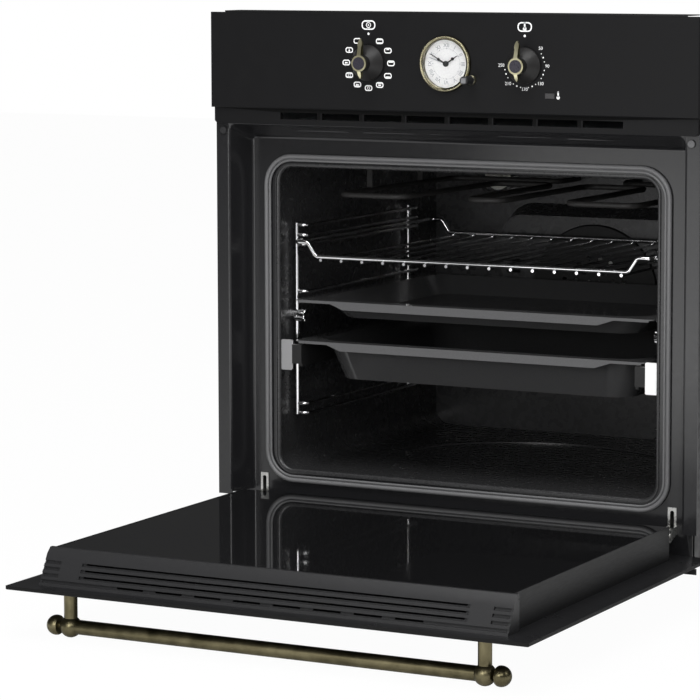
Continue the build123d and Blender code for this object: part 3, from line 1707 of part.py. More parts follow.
setting_centre = (setting_place, front_y, clock_height - setting_drop)
with BuildPart() as clock_knob:
    with BuildSketch(Plane(origin=setting_centre, x_dir=(1, 0, 0), z_dir=(0, 0, 1))):
        with BuildLine():
            Polyline(
                (0, bezel_depth + 7),
                (1.5, bezel_depth + 7),
                (1.5, -0.6),
                (setting_collar, -0.6),
                (setting_collar, -4.5),
                (setting_barrel, -5),
                (setting_barrel, -setting_length + 0.8),
                (setting_barrel - 0.8, -setting_length),
                (0, -setting_length),
                close=True,
            )
        make_face()
    revolve(axis=Axis(setting_centre, (0, 1, 0)))
write(clock_knob, "clock_knob")

with BuildPart() as pilot_lamp:
    with BuildSketch(facing(-0.5, pilot_place, pilot_height)):
        Rectangle(pilot_width - 0.3, pilot_rise - 0.3)
    extrude(amount=-carrier_back - 0.5)
    with BuildSketch(facing(carrier_back, pilot_place, pilot_height)):
        Rectangle(pilot_width + 6, pilot_rise + 5)
    extrude(amount=-15)
write(pilot_lamp, "pilot_lamp")

# Terminal box on the rear, with the gland for the supply cable

with BuildPart() as terminal_box:
    with BuildSketch(facing(body_depth)):
        with Locations((terminal_place, terminal_middle)):
            RectangleRounded(terminal_width, terminal_height, 6)
    extrude(amount=-terminal_depth)
    fillet(terminal_box.edges().group_by(Axis.Y)[-1], 3)
    gland_z = terminal_low + terminal_height * 0.3
    with BuildSketch(cross(terminal_place - terminal_width / 2)):
        with Locations((body_depth + terminal_depth / 2, gland_z)):
            RegularPolygon(gland_radius, 6)
    extrude(amount=-6)
    with BuildSketch(cross(terminal_place - terminal_width / 2)):
        with Locations((body_depth + terminal_depth / 2, gland_z)):
            Circle(gland_radius * 0.8)
    extrude(amount=-gland_length)
    with BuildSketch(cross(terminal_place - terminal_width / 2 - gland_length)):
        with Locations((body_depth + terminal_depth / 2, gland_z)):
            Circle(gland_bore)
    extrude(amount=gland_length + 20, mode=Mode.SUBTRACT)
write(terminal_box, "terminal_box")
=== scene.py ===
import math

import bpy
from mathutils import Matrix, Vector


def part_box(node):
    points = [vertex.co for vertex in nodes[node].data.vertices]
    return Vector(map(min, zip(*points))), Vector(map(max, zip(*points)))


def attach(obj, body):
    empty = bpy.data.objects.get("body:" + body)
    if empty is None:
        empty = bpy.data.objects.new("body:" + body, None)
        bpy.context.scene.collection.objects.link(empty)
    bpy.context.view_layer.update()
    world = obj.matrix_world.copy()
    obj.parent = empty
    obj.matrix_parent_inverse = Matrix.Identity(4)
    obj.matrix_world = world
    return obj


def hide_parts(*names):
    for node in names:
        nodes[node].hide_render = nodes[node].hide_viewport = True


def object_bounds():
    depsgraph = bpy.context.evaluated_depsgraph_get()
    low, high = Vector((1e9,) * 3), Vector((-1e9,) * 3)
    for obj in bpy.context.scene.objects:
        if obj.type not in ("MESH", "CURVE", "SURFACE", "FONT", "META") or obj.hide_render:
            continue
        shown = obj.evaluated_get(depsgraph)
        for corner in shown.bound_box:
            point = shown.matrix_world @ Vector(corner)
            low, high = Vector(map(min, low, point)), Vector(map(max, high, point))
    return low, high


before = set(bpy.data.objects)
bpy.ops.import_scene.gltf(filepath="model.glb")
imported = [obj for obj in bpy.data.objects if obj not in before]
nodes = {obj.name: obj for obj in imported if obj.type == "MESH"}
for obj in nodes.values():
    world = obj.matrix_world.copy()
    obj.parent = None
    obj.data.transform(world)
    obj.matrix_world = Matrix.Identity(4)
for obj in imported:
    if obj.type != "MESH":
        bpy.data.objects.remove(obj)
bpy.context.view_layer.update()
bpy.ops.object.select_all(action="DESELECT")

# Rear panel of the casing, and the duct of the cooling fan. Both are folded from the
# galvanised steel sheet with a fine spangle that the rest of the casing is made of.


def new_material(name, colour, roughness, metallic=0.0, specular=0.5):
    """A finish with one plain colour, ready for its grain."""
    material = bpy.data.materials.new(name)
    material.use_nodes = True
    shader = material.node_tree.nodes["Principled BSDF"]
    shader.inputs["Base Color"].default_value = (*colour, 1)
    shader.inputs["Roughness"].default_value = roughness
    shader.inputs["Metallic"].default_value = metallic
    shader.inputs["Specular IOR Level"].default_value = specular
    return material


def add_noise(material, scale, detail, stretch=(1, 1, 1)):
    """A noise pattern in the piece's own coordinates, in features per metre."""
    tree = material.node_tree
    place = tree.nodes.new("ShaderNodeTexCoord")
    mapping = tree.nodes.new("ShaderNodeMapping")
    mapping.inputs["Scale"].default_value = stretch
    noise = tree.nodes.new("ShaderNodeTexNoise")
    noise.inputs["Scale"].default_value = scale
    noise.inputs["Detail"].default_value = detail
    tree.links.new(place.outputs["Object"], mapping.inputs["Vector"])
    tree.links.new(mapping.outputs["Vector"], noise.inputs["Vector"])
    return noise


def vary(material, noise, socket, low, high):
    """Lets one number of the finish wander between two values."""
    tree = material.node_tree
    spread = tree.nodes.new("ShaderNodeMapRange")
    spread.inputs["From Min"].default_value = 0.3
    spread.inputs["From Max"].default_value = 0.7
    spread.inputs["To Min"].default_value = low
    spread.inputs["To Max"].default_value = high
    tree.links.new(noise.outputs["Fac"], spread.inputs["Value"])
    tree.links.new(spread.outputs["Result"], tree.nodes["Principled BSDF"].inputs[socket])


def tint(material, noise, dark, light):
    """Blends two colours over the surface."""
    tree = material.node_tree
    ramp = tree.nodes.new("ShaderNodeValToRGB")
    ramp.color_ramp.elements[0].position = 0.35
    ramp.color_ramp.elements[0].color = (*dark, 1)
    ramp.color_ramp.elements[1].position = 0.65
    ramp.color_ramp.elements[1].color = (*light, 1)
    tree.links.new(noise.outputs["Fac"], ramp.inputs["Fac"])
    tree.links.new(ramp.outputs["Color"], tree.nodes["Principled BSDF"].inputs["Base Color"])


merge_distance = 2e-6
soft_angle = 32


def dress(name, material):
    """Gives a construction piece its finish, smooth where its faces meet softly."""
    piece = nodes[name]
    piece.data.materials.clear()
    piece.data.materials.append(material)
    for face in piece.data.polygons:
        face.material_index = 0
        face.use_smooth = True
    weld = piece.modifiers.new("weld", "WELD")
    weld.merge_threshold = merge_distance
    split = piece.modifiers.new("split", "EDGE_SPLIT")
    split.split_angle = math.radians(soft_angle)


sheet_metallic = 0.85
galvanised = new_material("galvanised_sheet", (0.50, 0.51, 0.52), 0.38, sheet_metallic)
spangle = add_noise(galvanised, 90, 2)
tint(galvanised, spangle, (0.45, 0.46, 0.47), (0.54, 0.55, 0.56))
vary(galvanised, spangle, "Roughness", 0.30, 0.48)
for name in ("rear_panel", "cooling_duct"):
    dress(name, galvanised)

# Base plate, side panels and top panel of the casing, of the same sheet. Their first centimetres
# are painted black as painted shade, where they lie in shadow round the front frame in the niche.

shade_painted_sheet = galvanised.copy()
shade_painted_sheet.name = "shade_painted_sheet"
casing_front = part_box("side_panels")[0].y
shaded_depth = 0.055
shade_fade_edge = 0.012
painted_shade_black = (0.006, 0.006, 0.0065, 1)
tree = shade_painted_sheet.node_tree
shader = tree.nodes["Principled BSDF"]
place = tree.nodes.new("ShaderNodeTexCoord")
split = tree.nodes.new("ShaderNodeSeparateXYZ")
# Painted shade: black over the front strip of the sheet, fading into the bare metal behind it.
bare = tree.nodes.new("ShaderNodeMapRange")
bare.inputs["From Min"].default_value = casing_front + shaded_depth
bare.inputs["From Max"].default_value = casing_front + shaded_depth + shade_fade_edge
colours = tree.nodes.new("ShaderNodeMix")
colours.data_type = "RGBA"
colours.inputs["A"].default_value = painted_shade_black
metal = tree.nodes.new("ShaderNodeMath")
metal.operation = "MULTIPLY"
metal.inputs[1].default_value = sheet_metallic
tree.links.new(place.outputs["Object"], split.inputs["Vector"])
tree.links.new(split.outputs["Y"], bare.inputs["Value"])
tree.links.new(bare.outputs["Result"], colours.inputs["Factor"])
tree.links.new(shader.inputs["Base Color"].links[0].from_socket, colours.inputs["B"])
tree.links.new(colours.outputs["Result"], shader.inputs["Base Color"])
tree.links.new(bare.outputs["Result"], metal.inputs[0])
tree.links.new(metal.outputs["Value"], shader.inputs["Metallic"])
for name in ("base_plate", "side_panels", "top_panel"):
    dress(name, shade_painted_sheet)

# Screws of the casing. Zinc plated, and driven through the rear flanges into the
# side panels.

plated = new_material("zinc_plate", (0.62, 0.62, 0.60), 0.30, 1.0)
plate_grain = add_noise(plated, 400, 2)
vary(plated, plate_grain, "Roughness", 0.24, 0.38)
dress("casing_screws", plated)

# Front frame. One deep drawing of steel sheet with round edges where the recess
# turns inwards, under dark vitreous enamel.


def roughen(material, noise, height):
    """Gives the surface a fine relief of a height in metres."""
    tree = material.node_tree
    bump = tree.nodes.new("ShaderNodeBump")
    bump.inputs["Distance"].default_value = height
    tree.links.new(noise.outputs["Fac"], bump.inputs["Height"])
    tree.links.new(bump.outputs["Normal"], tree.nodes["Principled BSDF"].inputs["Normal"])


def take(piece):
    """Selects one piece alone for the next operator."""
    bpy.ops.object.select_all(action="DESELECT")
    piece.select_set(True)
    bpy.context.view_layer.objects.active = piece


def settle(piece, name, material, body):
    """Fixes a modelled piece where it stands, with its finish, on the body that carries it."""
    take(piece)
    bpy.ops.object.transform_apply(location=True, rotation=True, scale=True)
    piece.name = name
    piece.data.materials.clear()
    piece.data.materials.append(material)
    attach(piece, body)


def smooth_over(piece, angle):
    """Shades a piece smoothly across edges flatter than an angle in degrees."""
    take(piece)
    bpy.ops.object.shade_smooth_by_angle(angle=math.radians(angle))


front_y = -0.280
enamel = new_material("dark_enamel", (0.012, 0.012, 0.013), 0.18, 0, 0.5)
enamel_peel = add_noise(enamel, 160, 2)
vary(enamel, enamel_peel, "Roughness", 0.15, 0.21)
roughen(enamel, enamel_peel, 0.000004)

recess_front = front_y + 0.0085
recess_half = 0.2785
recess_top = 0.4685
seat_front = front_y + 0.0425
seat_half = 0.2675
seat_top = 0.4530
rims = (
    (recess_front, recess_half, recess_top),
    (seat_front, seat_half, seat_top),
)
rim_reach = 0.0002
edge_round = 0.0022
rim_strip = edge_round + rim_reach
flat_angle = 0.5
cuts = [
    ((0, recess_front + rim_strip, 0), (0, 1, 0)),
    ((0, seat_front - rim_strip, 0), (0, 1, 0)),
    ((0, 0, recess_top + rim_strip), (0, 0, 1)),
    ((0, 0, seat_top - rim_strip), (0, 0, 1)),
]
for side in (-1, 1):
    cuts.append(((side * (recess_half + rim_strip), 0, 0), (1, 0, 0)))
    cuts.append(((side * (seat_half - rim_strip), 0, 0), (1, 0, 0)))
rounded_frame = bpy.data.objects.new("enamelled_frame", nodes["front_frame"].data.copy())
bpy.context.scene.collection.objects.link(rounded_frame)
take(rounded_frame)
bpy.ops.object.mode_set(mode="EDIT")
bpy.ops.mesh.select_all(action="SELECT")
bpy.ops.mesh.remove_doubles(threshold=merge_distance)
# Seams beside the rims keep a whole strip along each while the flat triangles are
# joined, because a bevel runs out of a face along thin triangles.
for place, direction in cuts:
    bpy.ops.mesh.select_all(action="SELECT")
    bpy.ops.mesh.bisect(plane_co=place, plane_no=direction)
    bpy.ops.mesh.mark_seam()
bpy.ops.mesh.select_all(action="SELECT")
bpy.ops.mesh.dissolve_limited(angle_limit=math.radians(flat_angle), delimit={"SEAM"})
bpy.ops.mesh.select_all(action="DESELECT")
bpy.ops.object.mode_set(mode="OBJECT")
for edge in rounded_frame.data.edges:
    ends = [rounded_frame.data.vertices[i].co for i in edge.vertices]
    for depth, half, top in rims:
        at_depth = all(abs(end.y - depth) < rim_reach for end in ends)
        on_side = all(abs(abs(end.x) - half) < rim_reach for end in ends)
        on_top = all(abs(end.z - top) < rim_reach for end in ends)
        edge.select = edge.select or at_depth and (on_side or on_top)
bpy.ops.object.mode_set(mode="EDIT")
bpy.ops.mesh.bevel(offset=edge_round, segments=4, affect="EDGES", clamp_overlap=False)
bpy.ops.mesh.select_all(action="SELECT")
bpy.ops.mesh.quads_convert_to_tris(quad_method="BEAUTY", ngon_method="BEAUTY")
bpy.ops.object.mode_set(mode="OBJECT")
smooth_over(rounded_frame, 35)
flat_faces = rounded_frame.modifiers.new("flat_faces", "WEIGHTED_NORMAL")
flat_faces.keep_sharp = True
settle(rounded_frame, "enamelled_frame", enamel, "body")
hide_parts("front_frame")

# Fixing bushes. Small plastic collars in the top corners of the frame, closed by a black plug left
# and a grey one right, which come out before the screws go in. The left plug's black is painted
# shade, for the dark open bush.

dark_plastic = new_material("dark_plastic", (0.018, 0.018, 0.019), 0.42, 0, 0.4)
plastic_grain = add_noise(dark_plastic, 1500, 2)
roughen(dark_plastic, plastic_grain, 0.00001)
dress("fixing_bushes", dark_plastic)
grey_rubber = new_material("grey_rubber", (0.09, 0.09, 0.093), 0.5)
rubber_grain = add_noise(grey_rubber, 1200, 3)
tint(grey_rubber, rubber_grain, (0.075, 0.075, 0.078), (0.11, 0.11, 0.113))
bush_low, bush_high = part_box("fixing_bushes")
bush_height = (bush_low.z + bush_high.z) / 2
bush_half = bush_high.x - 0.0045
plug_radius = 0.0043
plug_rise = 0.0006
plug_steps = ((0, plug_rise), (0.0004, 0.0003), (0.0016, -0.0005))
upright = (math.radians(90), 0, 0)


def add_disc(x, y, z, radius, sides=32):
    """A round blank that stands upright and faces the front."""
    bpy.ops.object.select_all(action="DESELECT")
    bpy.ops.mesh.primitive_circle_add(
        vertices=sides, radius=radius, fill_type="NGON", location=(x, y, z), rotation=upright
    )
    piece = bpy.context.object
    bpy.ops.object.transform_apply(location=False, rotation=True, scale=True)
    return piece


def draw_up(piece, steps):
    """Draws the piece's open front face out in steps of inset and rise, in metres."""
    take(piece)
    bpy.ops.object.mode_set(mode="EDIT")
    bpy.ops.mesh.select_all(action="SELECT")
    for inset, rise in steps:
        if inset:
            bpy.ops.mesh.inset(thickness=inset, depth=0)
        if rise:
            bpy.ops.mesh.extrude_region_move(TRANSFORM_OT_translate={"value": (0, -rise, 0)})
    bpy.ops.mesh.select_all(action="SELECT")
    bpy.ops.mesh.normals_make_consistent(inside=False)
    bpy.ops.object.mode_set(mode="OBJECT")


# The left plug's black is painted shade, standing for the dark inside of the open bush.
plugs = (
    (-1, "fixing_plug_left", dark_plastic, "dark_plastic"),
    (1, "fixing_plug_right", grey_rubber, "grey_plastic"),
)
for side, name, rubber, slot in plugs:
    plug = add_disc(side * bush_half, bush_low.y + plug_rise, bush_height, plug_radius)
    draw_up(plug, plug_steps)
    settle(plug, name, rubber, "body")

# Cavity. Pressed and welded steel sheet under speckled enamel, with a rolled lip
# round its mouth where it meets the front frame.

cavity_enamel = new_material("cavity_enamel", (0.026, 0.026, 0.027), 0.28, 0, 0.5)
speckle = add_noise(cavity_enamel, 1600, 1)
tint(cavity_enamel, speckle, (0.023, 0.023, 0.024), (0.030, 0.030, 0.031))
peel = add_noise(cavity_enamel, 120, 2)
vary(cavity_enamel, peel, "Roughness", 0.24, 0.32)
roughen(cavity_enamel, peel, 0.000004)
dress("cavity_liner", cavity_enamel)


def add_ring(width, height, corner, depth, middle, tube):
    """A tube bent round an upright rectangle with round corners."""
    bpy.ops.object.select_all(action="DESELECT")
    bpy.ops.mesh.primitive_plane_add(size=1, location=(0, depth, middle), rotation=upright)
    piece = bpy.context.object
    piece.scale = (width, height, 1)
    bpy.ops.object.transform_apply(location=False, rotation=True, scale=True)
    bpy.ops.object.mode_set(mode="EDIT")
    bpy.ops.mesh.select_all(action="SELECT")
    bpy.ops.mesh.bevel(offset=corner, segments=12, affect="VERTICES", clamp_overlap=False)
    bpy.ops.mesh.delete(type="ONLY_FACE")
    bpy.ops.object.mode_set(mode="OBJECT")
    bpy.ops.object.convert(target="CURVE")
    piece = bpy.context.object
    piece.data.bevel_depth = tube
    piece.data.bevel_resolution = 4
    bpy.ops.object.convert(target="MESH")
    piece = bpy.context.object
    bpy.ops.object.shade_smooth()
    return piece


mouth_low = 0.068
mouth_high = 0.422
mouth_middle = (mouth_low + mouth_high) / 2
mouth_half = 0.236
mouth_height = mouth_high - mouth_low
mouth_corner = 0.020
lip_tube = 0.0032
lip_proud = 0.0004
lip_depth = seat_front + lip_tube - lip_proud
mouth_lip = add_ring(
    2 * mouth_half, mouth_height, mouth_corner, lip_depth, mouth_middle, lip_tube
)
settle(mouth_lip, "mouth_lip", cavity_enamel, "body")

# Door seal. An extruded silicone section clipped round the mouth: a round bulb
# outside, a thin sealing bead inside it, and the strip that joins them.


def join(pieces):
    """Joins like pieces into one."""
    bpy.ops.object.select_all(action="DESELECT")
    for piece in pieces:
        piece.select_set(True)
    bpy.context.view_layer.objects.active = pieces[0]
    bpy.ops.object.join()
    return bpy.context.object


silicone = new_material("grey_silicone", (0.125, 0.125, 0.128), 0.40, 0, 0.45)
silicone_grain = add_noise(silicone, 900, 2)
vary(silicone, silicone_grain, "Roughness", 0.36, 0.48)
roughen(silicone, silicone_grain, 0.00001)
seal_low, seal_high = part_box("door_seal")
seal_half = seal_high.x
seal_middle = (seal_low.z + seal_high.z) / 2
seal_half_height = (seal_high.z - seal_low.z) / 2
seal_corner = 0.036
bulb = 0.0027
bead = 0.0014
bead_inset = 0.0072
bead_proud = 0.0008
strip_tube = 0.0010
strip_inset = 0.0056
rings = []
for inset, tube, depth in (
    (bulb, bulb, seal_low.y + bulb),
    (bead_inset, bead, seat_front - bead - bead_proud),
    (strip_inset, strip_tube, seat_front - strip_tube),
):
    width = 2 * (seal_half - inset)
    height = 2 * (seal_half_height - inset)
    rings.append(add_ring(width, height, seal_corner - inset, depth, seal_middle, tube))
seal = join(rings)
settle(seal, "seal_tube", silicone, "body")
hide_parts("door_seal")

# Insulation. Mats of mineral wool with coarse fibres, wrapped round the cavity
# inside the casing.

wool = new_material("mineral_wool", (0.55, 0.50, 0.38), 0.95)
wool_grain = add_noise(wool, 300, 8, (1, 1, 6))
tint(wool, wool_grain, (0.42, 0.38, 0.27), (0.66, 0.61, 0.48))
roughen(wool, wool_grain, 0.002)
dress("insulation", wool)

# Heating elements. Steel tubes burnt dark, clipped under the roof, below the floor
# and round the fan wheel.

element_steel = new_material("element_steel", (0.020, 0.0195, 0.019), 0.55, 0, 0.3)
scale_grain = add_noise(element_steel, 500, 4)
tint(element_steel, scale_grain, (0.015, 0.0145, 0.0145), (0.026, 0.025, 0.0245))
vary(element_steel, scale_grain, "Roughness", 0.42, 0.62)
for name in ("grill_element", "bottom_element", "ring_element"):
    dress(name, element_steel)

# Lamp in the back wall. A pressed glass lens, screwed over the steatite holder of
# the bulb.


def clear_glass(name, refraction):
    """A clear glass with its index of refraction."""
    material = new_material(name, (1, 1, 1), 0.02)
    shader = material.node_tree.nodes["Principled BSDF"]
    shader.inputs["Transmission Weight"].default_value = 1.0
    shader.inputs["IOR"].default_value = refraction
    return material


dress("lamp_lens", clear_glass("lens_glass", 1.5))
steatite = new_material("steatite", (0.74, 0.72, 0.67), 0.55)
steatite_grain = add_noise(steatite, 700, 3)
tint(steatite, steatite_grain, (0.68, 0.66, 0.61), (0.78, 0.76, 0.71))
dress("lamp_holder", steatite)

# Fans. The enamelled cover on the back wall with its matt dome, the plated fan wheel
# and the motor behind it, and the cooling fan above the cavity.


def repaint(name, material, chosen):
    """Gives some faces of a dressed piece a second finish, chosen by middle and normal."""
    piece = nodes[name]
    piece.data.materials.append(material)
    last = len(piece.data.materials) - 1
    for face in piece.data.polygons:
        if chosen(face.center, face.normal):
            face.material_index = last


dress("fan_cover", cavity_enamel)
cover_matt = new_material("cover_matt", (0.006, 0.006, 0.006), 0.45, 0, 0.25)
cover_grain = add_noise(cover_matt, 500, 3)
vary(cover_matt, cover_grain, "Roughness", 0.40, 0.55)
dome_radius = 0.083
fan_height = 0.250
repaint(
    "fan_cover",
    cover_matt,
    lambda middle, normal: math.hypot(middle.x, middle.z - fan_height) < dome_radius,
)
for name in ("convection_fan_wheel", "cooling_fan_wheel"):
    dress(name, plated)
motor_steel = new_material("motor_steel", (0.12, 0.12, 0.13), 0.45, 0.7)
motor_grain = add_noise(motor_steel, 600, 2)
vary(motor_steel, motor_grain, "Roughness", 0.38, 0.55)
for name in ("convection_motor", "cooling_fan_motor"):
    dress(name, motor_steel)

# Side racks with their nuts, and the wire shelf. Steel wire, welded, bent and
# chrome plated.

chrome = new_material("chrome", (0.78, 0.78, 0.79), 0.10, 1.0)
chrome_wear = add_noise(chrome, 120, 3)
vary(chrome, chrome_wear, "Roughness", 0.07, 0.16)
for name in ("side_rack_left", "side_rack_right", "rack_nuts", "wire_shelf"):
    dress(name, chrome)

# Thumb nuts of the side racks. Turned brass with a fluted rim, chrome plated, and
# screwed on the studs at the front of the cavity.


def copy_to(piece, place, turn=0):
    """A copy with its own mesh, set at a place and turned clockwise in degrees."""
    copy = bpy.data.objects.new(piece.name, piece.data.copy())
    bpy.context.scene.collection.objects.link(copy)
    copy.location = place
    copy.rotation_euler.y = math.radians(turn)
    take(copy)
    bpy.ops.object.transform_apply(location=True, rotation=True, scale=True)
    return copy


nut_x = 0.2243
nut_z = 0.2448
nut_radius = 0.0078
nut_length = 0.0135
nut_flutes = 9
flute_depth = 0.72
nut_edge = 0.0010
rack_front = front_y + 0.078
bpy.ops.object.select_all(action="DESELECT")
bpy.ops.mesh.primitive_cylinder_add(
    vertices=2 * nut_flutes, radius=nut_radius, depth=nut_length, rotation=(0, math.radians(90), 0)
)
nut = bpy.context.object
bpy.ops.object.transform_apply(location=False, rotation=True, scale=True)
for vertex in nut.data.vertices:
    flute = round(math.atan2(vertex.co.z, vertex.co.y) / math.pi * nut_flutes)
    if flute % 2:
        vertex.co.y *= flute_depth
        vertex.co.z *= flute_depth
edges = nut.modifiers.new("edges", "BEVEL")
edges.width = nut_edge
edges.segments = 2
bpy.ops.object.modifier_apply(modifier="edges")
nut_pair = join([copy_to(nut, (side * nut_x, rack_front, nut_z)) for side in (-1, 1)])
bpy.data.objects.remove(nut)
settle(nut_pair, "thumb_nuts", chrome, "body")

# Trays: the shallow one on the racks and the deep pan on the runners. Both are pressed from steel
# and enamelled, with the front lips painted paler, as a painted highlight where they catch the
# light.

tray_enamel = new_material("tray_enamel", (0.045, 0.045, 0.046), 0.20, 0, 0.6)
tray_speckle = add_noise(tray_enamel, 1500, 1)
tint(tray_enamel, tray_speckle, (0.038, 0.038, 0.039), (0.052, 0.052, 0.053))
tray_peel = add_noise(tray_enamel, 150, 2)
vary(tray_enamel, tray_peel, "Roughness", 0.16, 0.22)
roughen(tray_enamel, tray_peel, 0.000004)
# Painted highlight: the front lip faces get a paler enamel where they catch the light.
lip_highlight_enamel = new_material("lip_highlight_enamel", (0.088, 0.088, 0.090), 0.24, 0, 0.5)
lip_highlight_speckle = add_noise(lip_highlight_enamel, 1500, 1)
tint(lip_highlight_enamel, lip_highlight_speckle, (0.078, 0.078, 0.080), (0.098, 0.098, 0.100))
lip_reach = 0.008
for name in ("shallow_tray", "deep_pan"):
    dress(name, tray_enamel)
    tray_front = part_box(name)[0].y
    repaint(
        name,
        lip_highlight_enamel,
        lambda middle, normal: normal.y < -0.5 and middle.y < tray_front + lip_reach,
    )

# Telescopic runners. Dark phosphated steel rails and middles on balls, and slides that end in
# plastic plates, with a white clip beside each. The plates are painted grey on the left and pale
# on the right, as painted shade and light.

dark_rail = new_material("dark_rail", (0.012, 0.012, 0.012), 0.42, 0, 0.3)
rail_grain = add_noise(dark_rail, 500, 3, (1, 0.1, 1))
vary(dark_rail, rail_grain, "Roughness", 0.34, 0.52)
for name in ("runner_rails", "runner_middles", "runner_slides"):
    dress(name, dark_rail)
slide_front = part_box("runner_slides")[0].y
end_plate = 0.0027
plate_inner = 0.2190
clip_inner = 0.2160
clip_share = 0.2


def by_side(name, side, colours):
    """A plastic whose colour steps outwards with the distance from the oven's middle."""
    material = new_material(name, (0.5, 0.5, 0.5), 0.42)
    tree = material.node_tree
    place = tree.nodes.new("ShaderNodeTexCoord")
    split = tree.nodes.new("ShaderNodeSeparateXYZ")
    reach = tree.nodes.new("ShaderNodeMapRange")
    reach.inputs["From Min"].default_value = side * clip_inner
    plate_reach = (plate_inner - clip_inner) / clip_share
    reach.inputs["From Max"].default_value = side * (clip_inner + plate_reach)
    ramp = tree.nodes.new("ShaderNodeValToRGB")
    ramp.color_ramp.interpolation = "CONSTANT"
    ramp.color_ramp.elements[0].color = colours[0]
    ramp.color_ramp.elements[1].position = clip_share
    ramp.color_ramp.elements[1].color = colours[1]
    tree.links.new(place.outputs["Object"], split.inputs["Vector"])
    tree.links.new(split.outputs["X"], reach.inputs["Value"])
    tree.links.new(reach.outputs["Result"], ramp.inputs["Fac"])
    tree.links.new(ramp.outputs["Color"], tree.nodes["Principled BSDF"].inputs["Base Color"])
    return material


# The left plate's grey is painted shade and the right plate's near white is painted light: both
# are the same plastic.
clip_white = (0.66, 0.66, 0.66, 1)
for side, plate_light_and_shade in ((-1, (0.24, 0.24, 0.245, 1)), (1, (0.86, 0.86, 0.86, 1))):
    lit_and_shaded_plate = by_side("end_plate_light_and_shade", side, (clip_white, plate_light_and_shade))
    repaint(
        "runner_slides",
        lit_and_shaded_plate,
        lambda middle, normal: middle.y < slide_front + end_plate
        and side * middle.x > clip_inner,
    )

# Hinges. Zinc plated cases behind slots in the seat, and pressed arms that run
# through the slots into the door.

for name in ("hinge_bodies", "hinge_arms"):
    dress(name, plated)

# Rolled edges of the two hinge slots. The sheet turns outwards round each slot, and
# the arms have worn it bright.

hinge_x = 0.2535
slot_middle = 0.050
slot_height = 0.022
slot_width = 0.0046
slot_roll = 0.0006
slot_corner = 0.0028
slot_depth = seat_front - 0.0003
ring_width = slot_width + 2 * slot_roll
ring_height = slot_height + 2 * slot_roll
ring = add_ring(ring_width, ring_height, slot_corner, slot_depth, slot_middle, slot_roll)
ring_pair = join(
    [copy_to(ring, (side * hinge_x, ring.location.y, ring.location.z)) for side in (-1, 1)]
)
bpy.data.objects.remove(ring)
settle(ring_pair, "slot_rings", chrome, "body")

# Glasses of the door. The outer pane is printed black and ground along its edges, which are
# painted near black as painted shade; the inner and middle ones are dark coated glass, held apart
# by plastic spacers.

black_glass = new_material("black_glass", (0.014, 0.014, 0.015), 0.30, 0, 0.35)
glass_haze = add_noise(black_glass, 40, 3)
vary(black_glass, glass_haze, "Roughness", 0.27, 0.33)
dress("door_outer_glass", black_glass)
# Painted shade: the edge faces of the outer pane are made near black.
edge_shade_black = new_material("edge_shade_black", (0.004, 0.004, 0.004), 0.5, 0, 0.15)
edge_grain = add_noise(edge_shade_black, 600, 2)
vary(edge_shade_black, edge_grain, "Roughness", 0.45, 0.6)
repaint("door_outer_glass", edge_shade_black, lambda middle, normal: abs(normal.z) < 0.9)
door_glass = new_material("door_glass", (0.008, 0.008, 0.0085), 0.03, 0, 0.32)
glass_smear = add_noise(door_glass, 25, 3)
vary(door_glass, glass_smear, "Roughness", 0.02, 0.05)
for name in ("door_inner_glass", "door_middle_glass"):
    dress(name, door_glass)
dress("glass_spacers", dark_plastic)

# Side profiles, moulding along the top and bottom trim of the door: aluminium profiles under satin
# black lacquer.
# The side profiles take a darker copy of the lacquer, as painted shade.

satin_black = new_material("satin_black", (0.018, 0.018, 0.019), 0.38, 0, 0.38)
satin_grain = add_noise(satin_black, 1200, 2)
vary(satin_black, satin_grain, "Roughness", 0.33, 0.44)
roughen(satin_black, satin_grain, 0.000006)
for name in ("door_top_trim", "door_bottom_trim"):
    dress(name, satin_black)
# Painted shade: a darker copy of the satin lacquer for the side profiles.
shaded_profile_black = new_material("shaded_profile_black", (0.012, 0.012, 0.0125), 0.42, 0, 0.22)
profile_grain = add_noise(shaded_profile_black, 900, 2, (1, 0.1, 1))
vary(shaded_profile_black, profile_grain, "Roughness", 0.38, 0.48)
dress("door_side_profiles", shaded_profile_black)

# Handle. Aged brass, with a round bar between two cast posts that end in balls and
# mushrooms, screwed through the outer glass.

aged_brass = new_material("aged_brass", (0.17, 0.145, 0.085), 0.34, 1.0)
patina = add_noise(aged_brass, 60, 4)
tint(aged_brass, patina, (0.105, 0.092, 0.052), (0.18, 0.158, 0.092))
vary(aged_brass, patina, "Roughness", 0.28, 0.42)
for name in ("handle_bar", "handle_posts"):
    dress(name, aged_brass)

# Control panel. Black glass with a satin face, clipped to a folded steel carrier
# under black lacquer.

panel_satin = new_material("panel_satin", (0.008, 0.008, 0.0085), 0.42, 0, 0.10)
panel_haze = add_noise(panel_satin, 60, 3)
vary(panel_satin, panel_haze, "Roughness", 0.38, 0.46)
dress("control_panel", panel_satin)
# The carrier takes the same darker copy of the lacquer, painted as shade.
dress("panel_carrier", shaded_profile_black)

# Air outlet below the panel: a lacquered trim with eight openings, whose thin webs stand in front
# of the duct;
# the side walls of the openings and the strip above them are painted near black, as painted shade.

dress("air_outlet_trim", panel_satin)
outlet_shade_black = new_material("outlet_shade_black", (0.004, 0.004, 0.004), 0.9, 0, 0.1)
opening_top = 0.48295
outlet_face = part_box("air_outlet_trim")[0].y
outlet_front = outlet_face + 0.0004
hole_reach = 0.216
# Painted shade: near black on the side walls of the openings and on the strip above them.
repaint(
    "air_outlet_trim",
    outlet_shade_black,
    lambda middle, normal: abs(middle.x) < hole_reach
    and (normal.x > 0.9 or middle.z > opening_top and middle.y < outlet_front),
)

# Printed marks on the control panel: a sign in a rounded frame for each function,
# numbers round the thermostat, and a thermometer beside the pilot lamp.

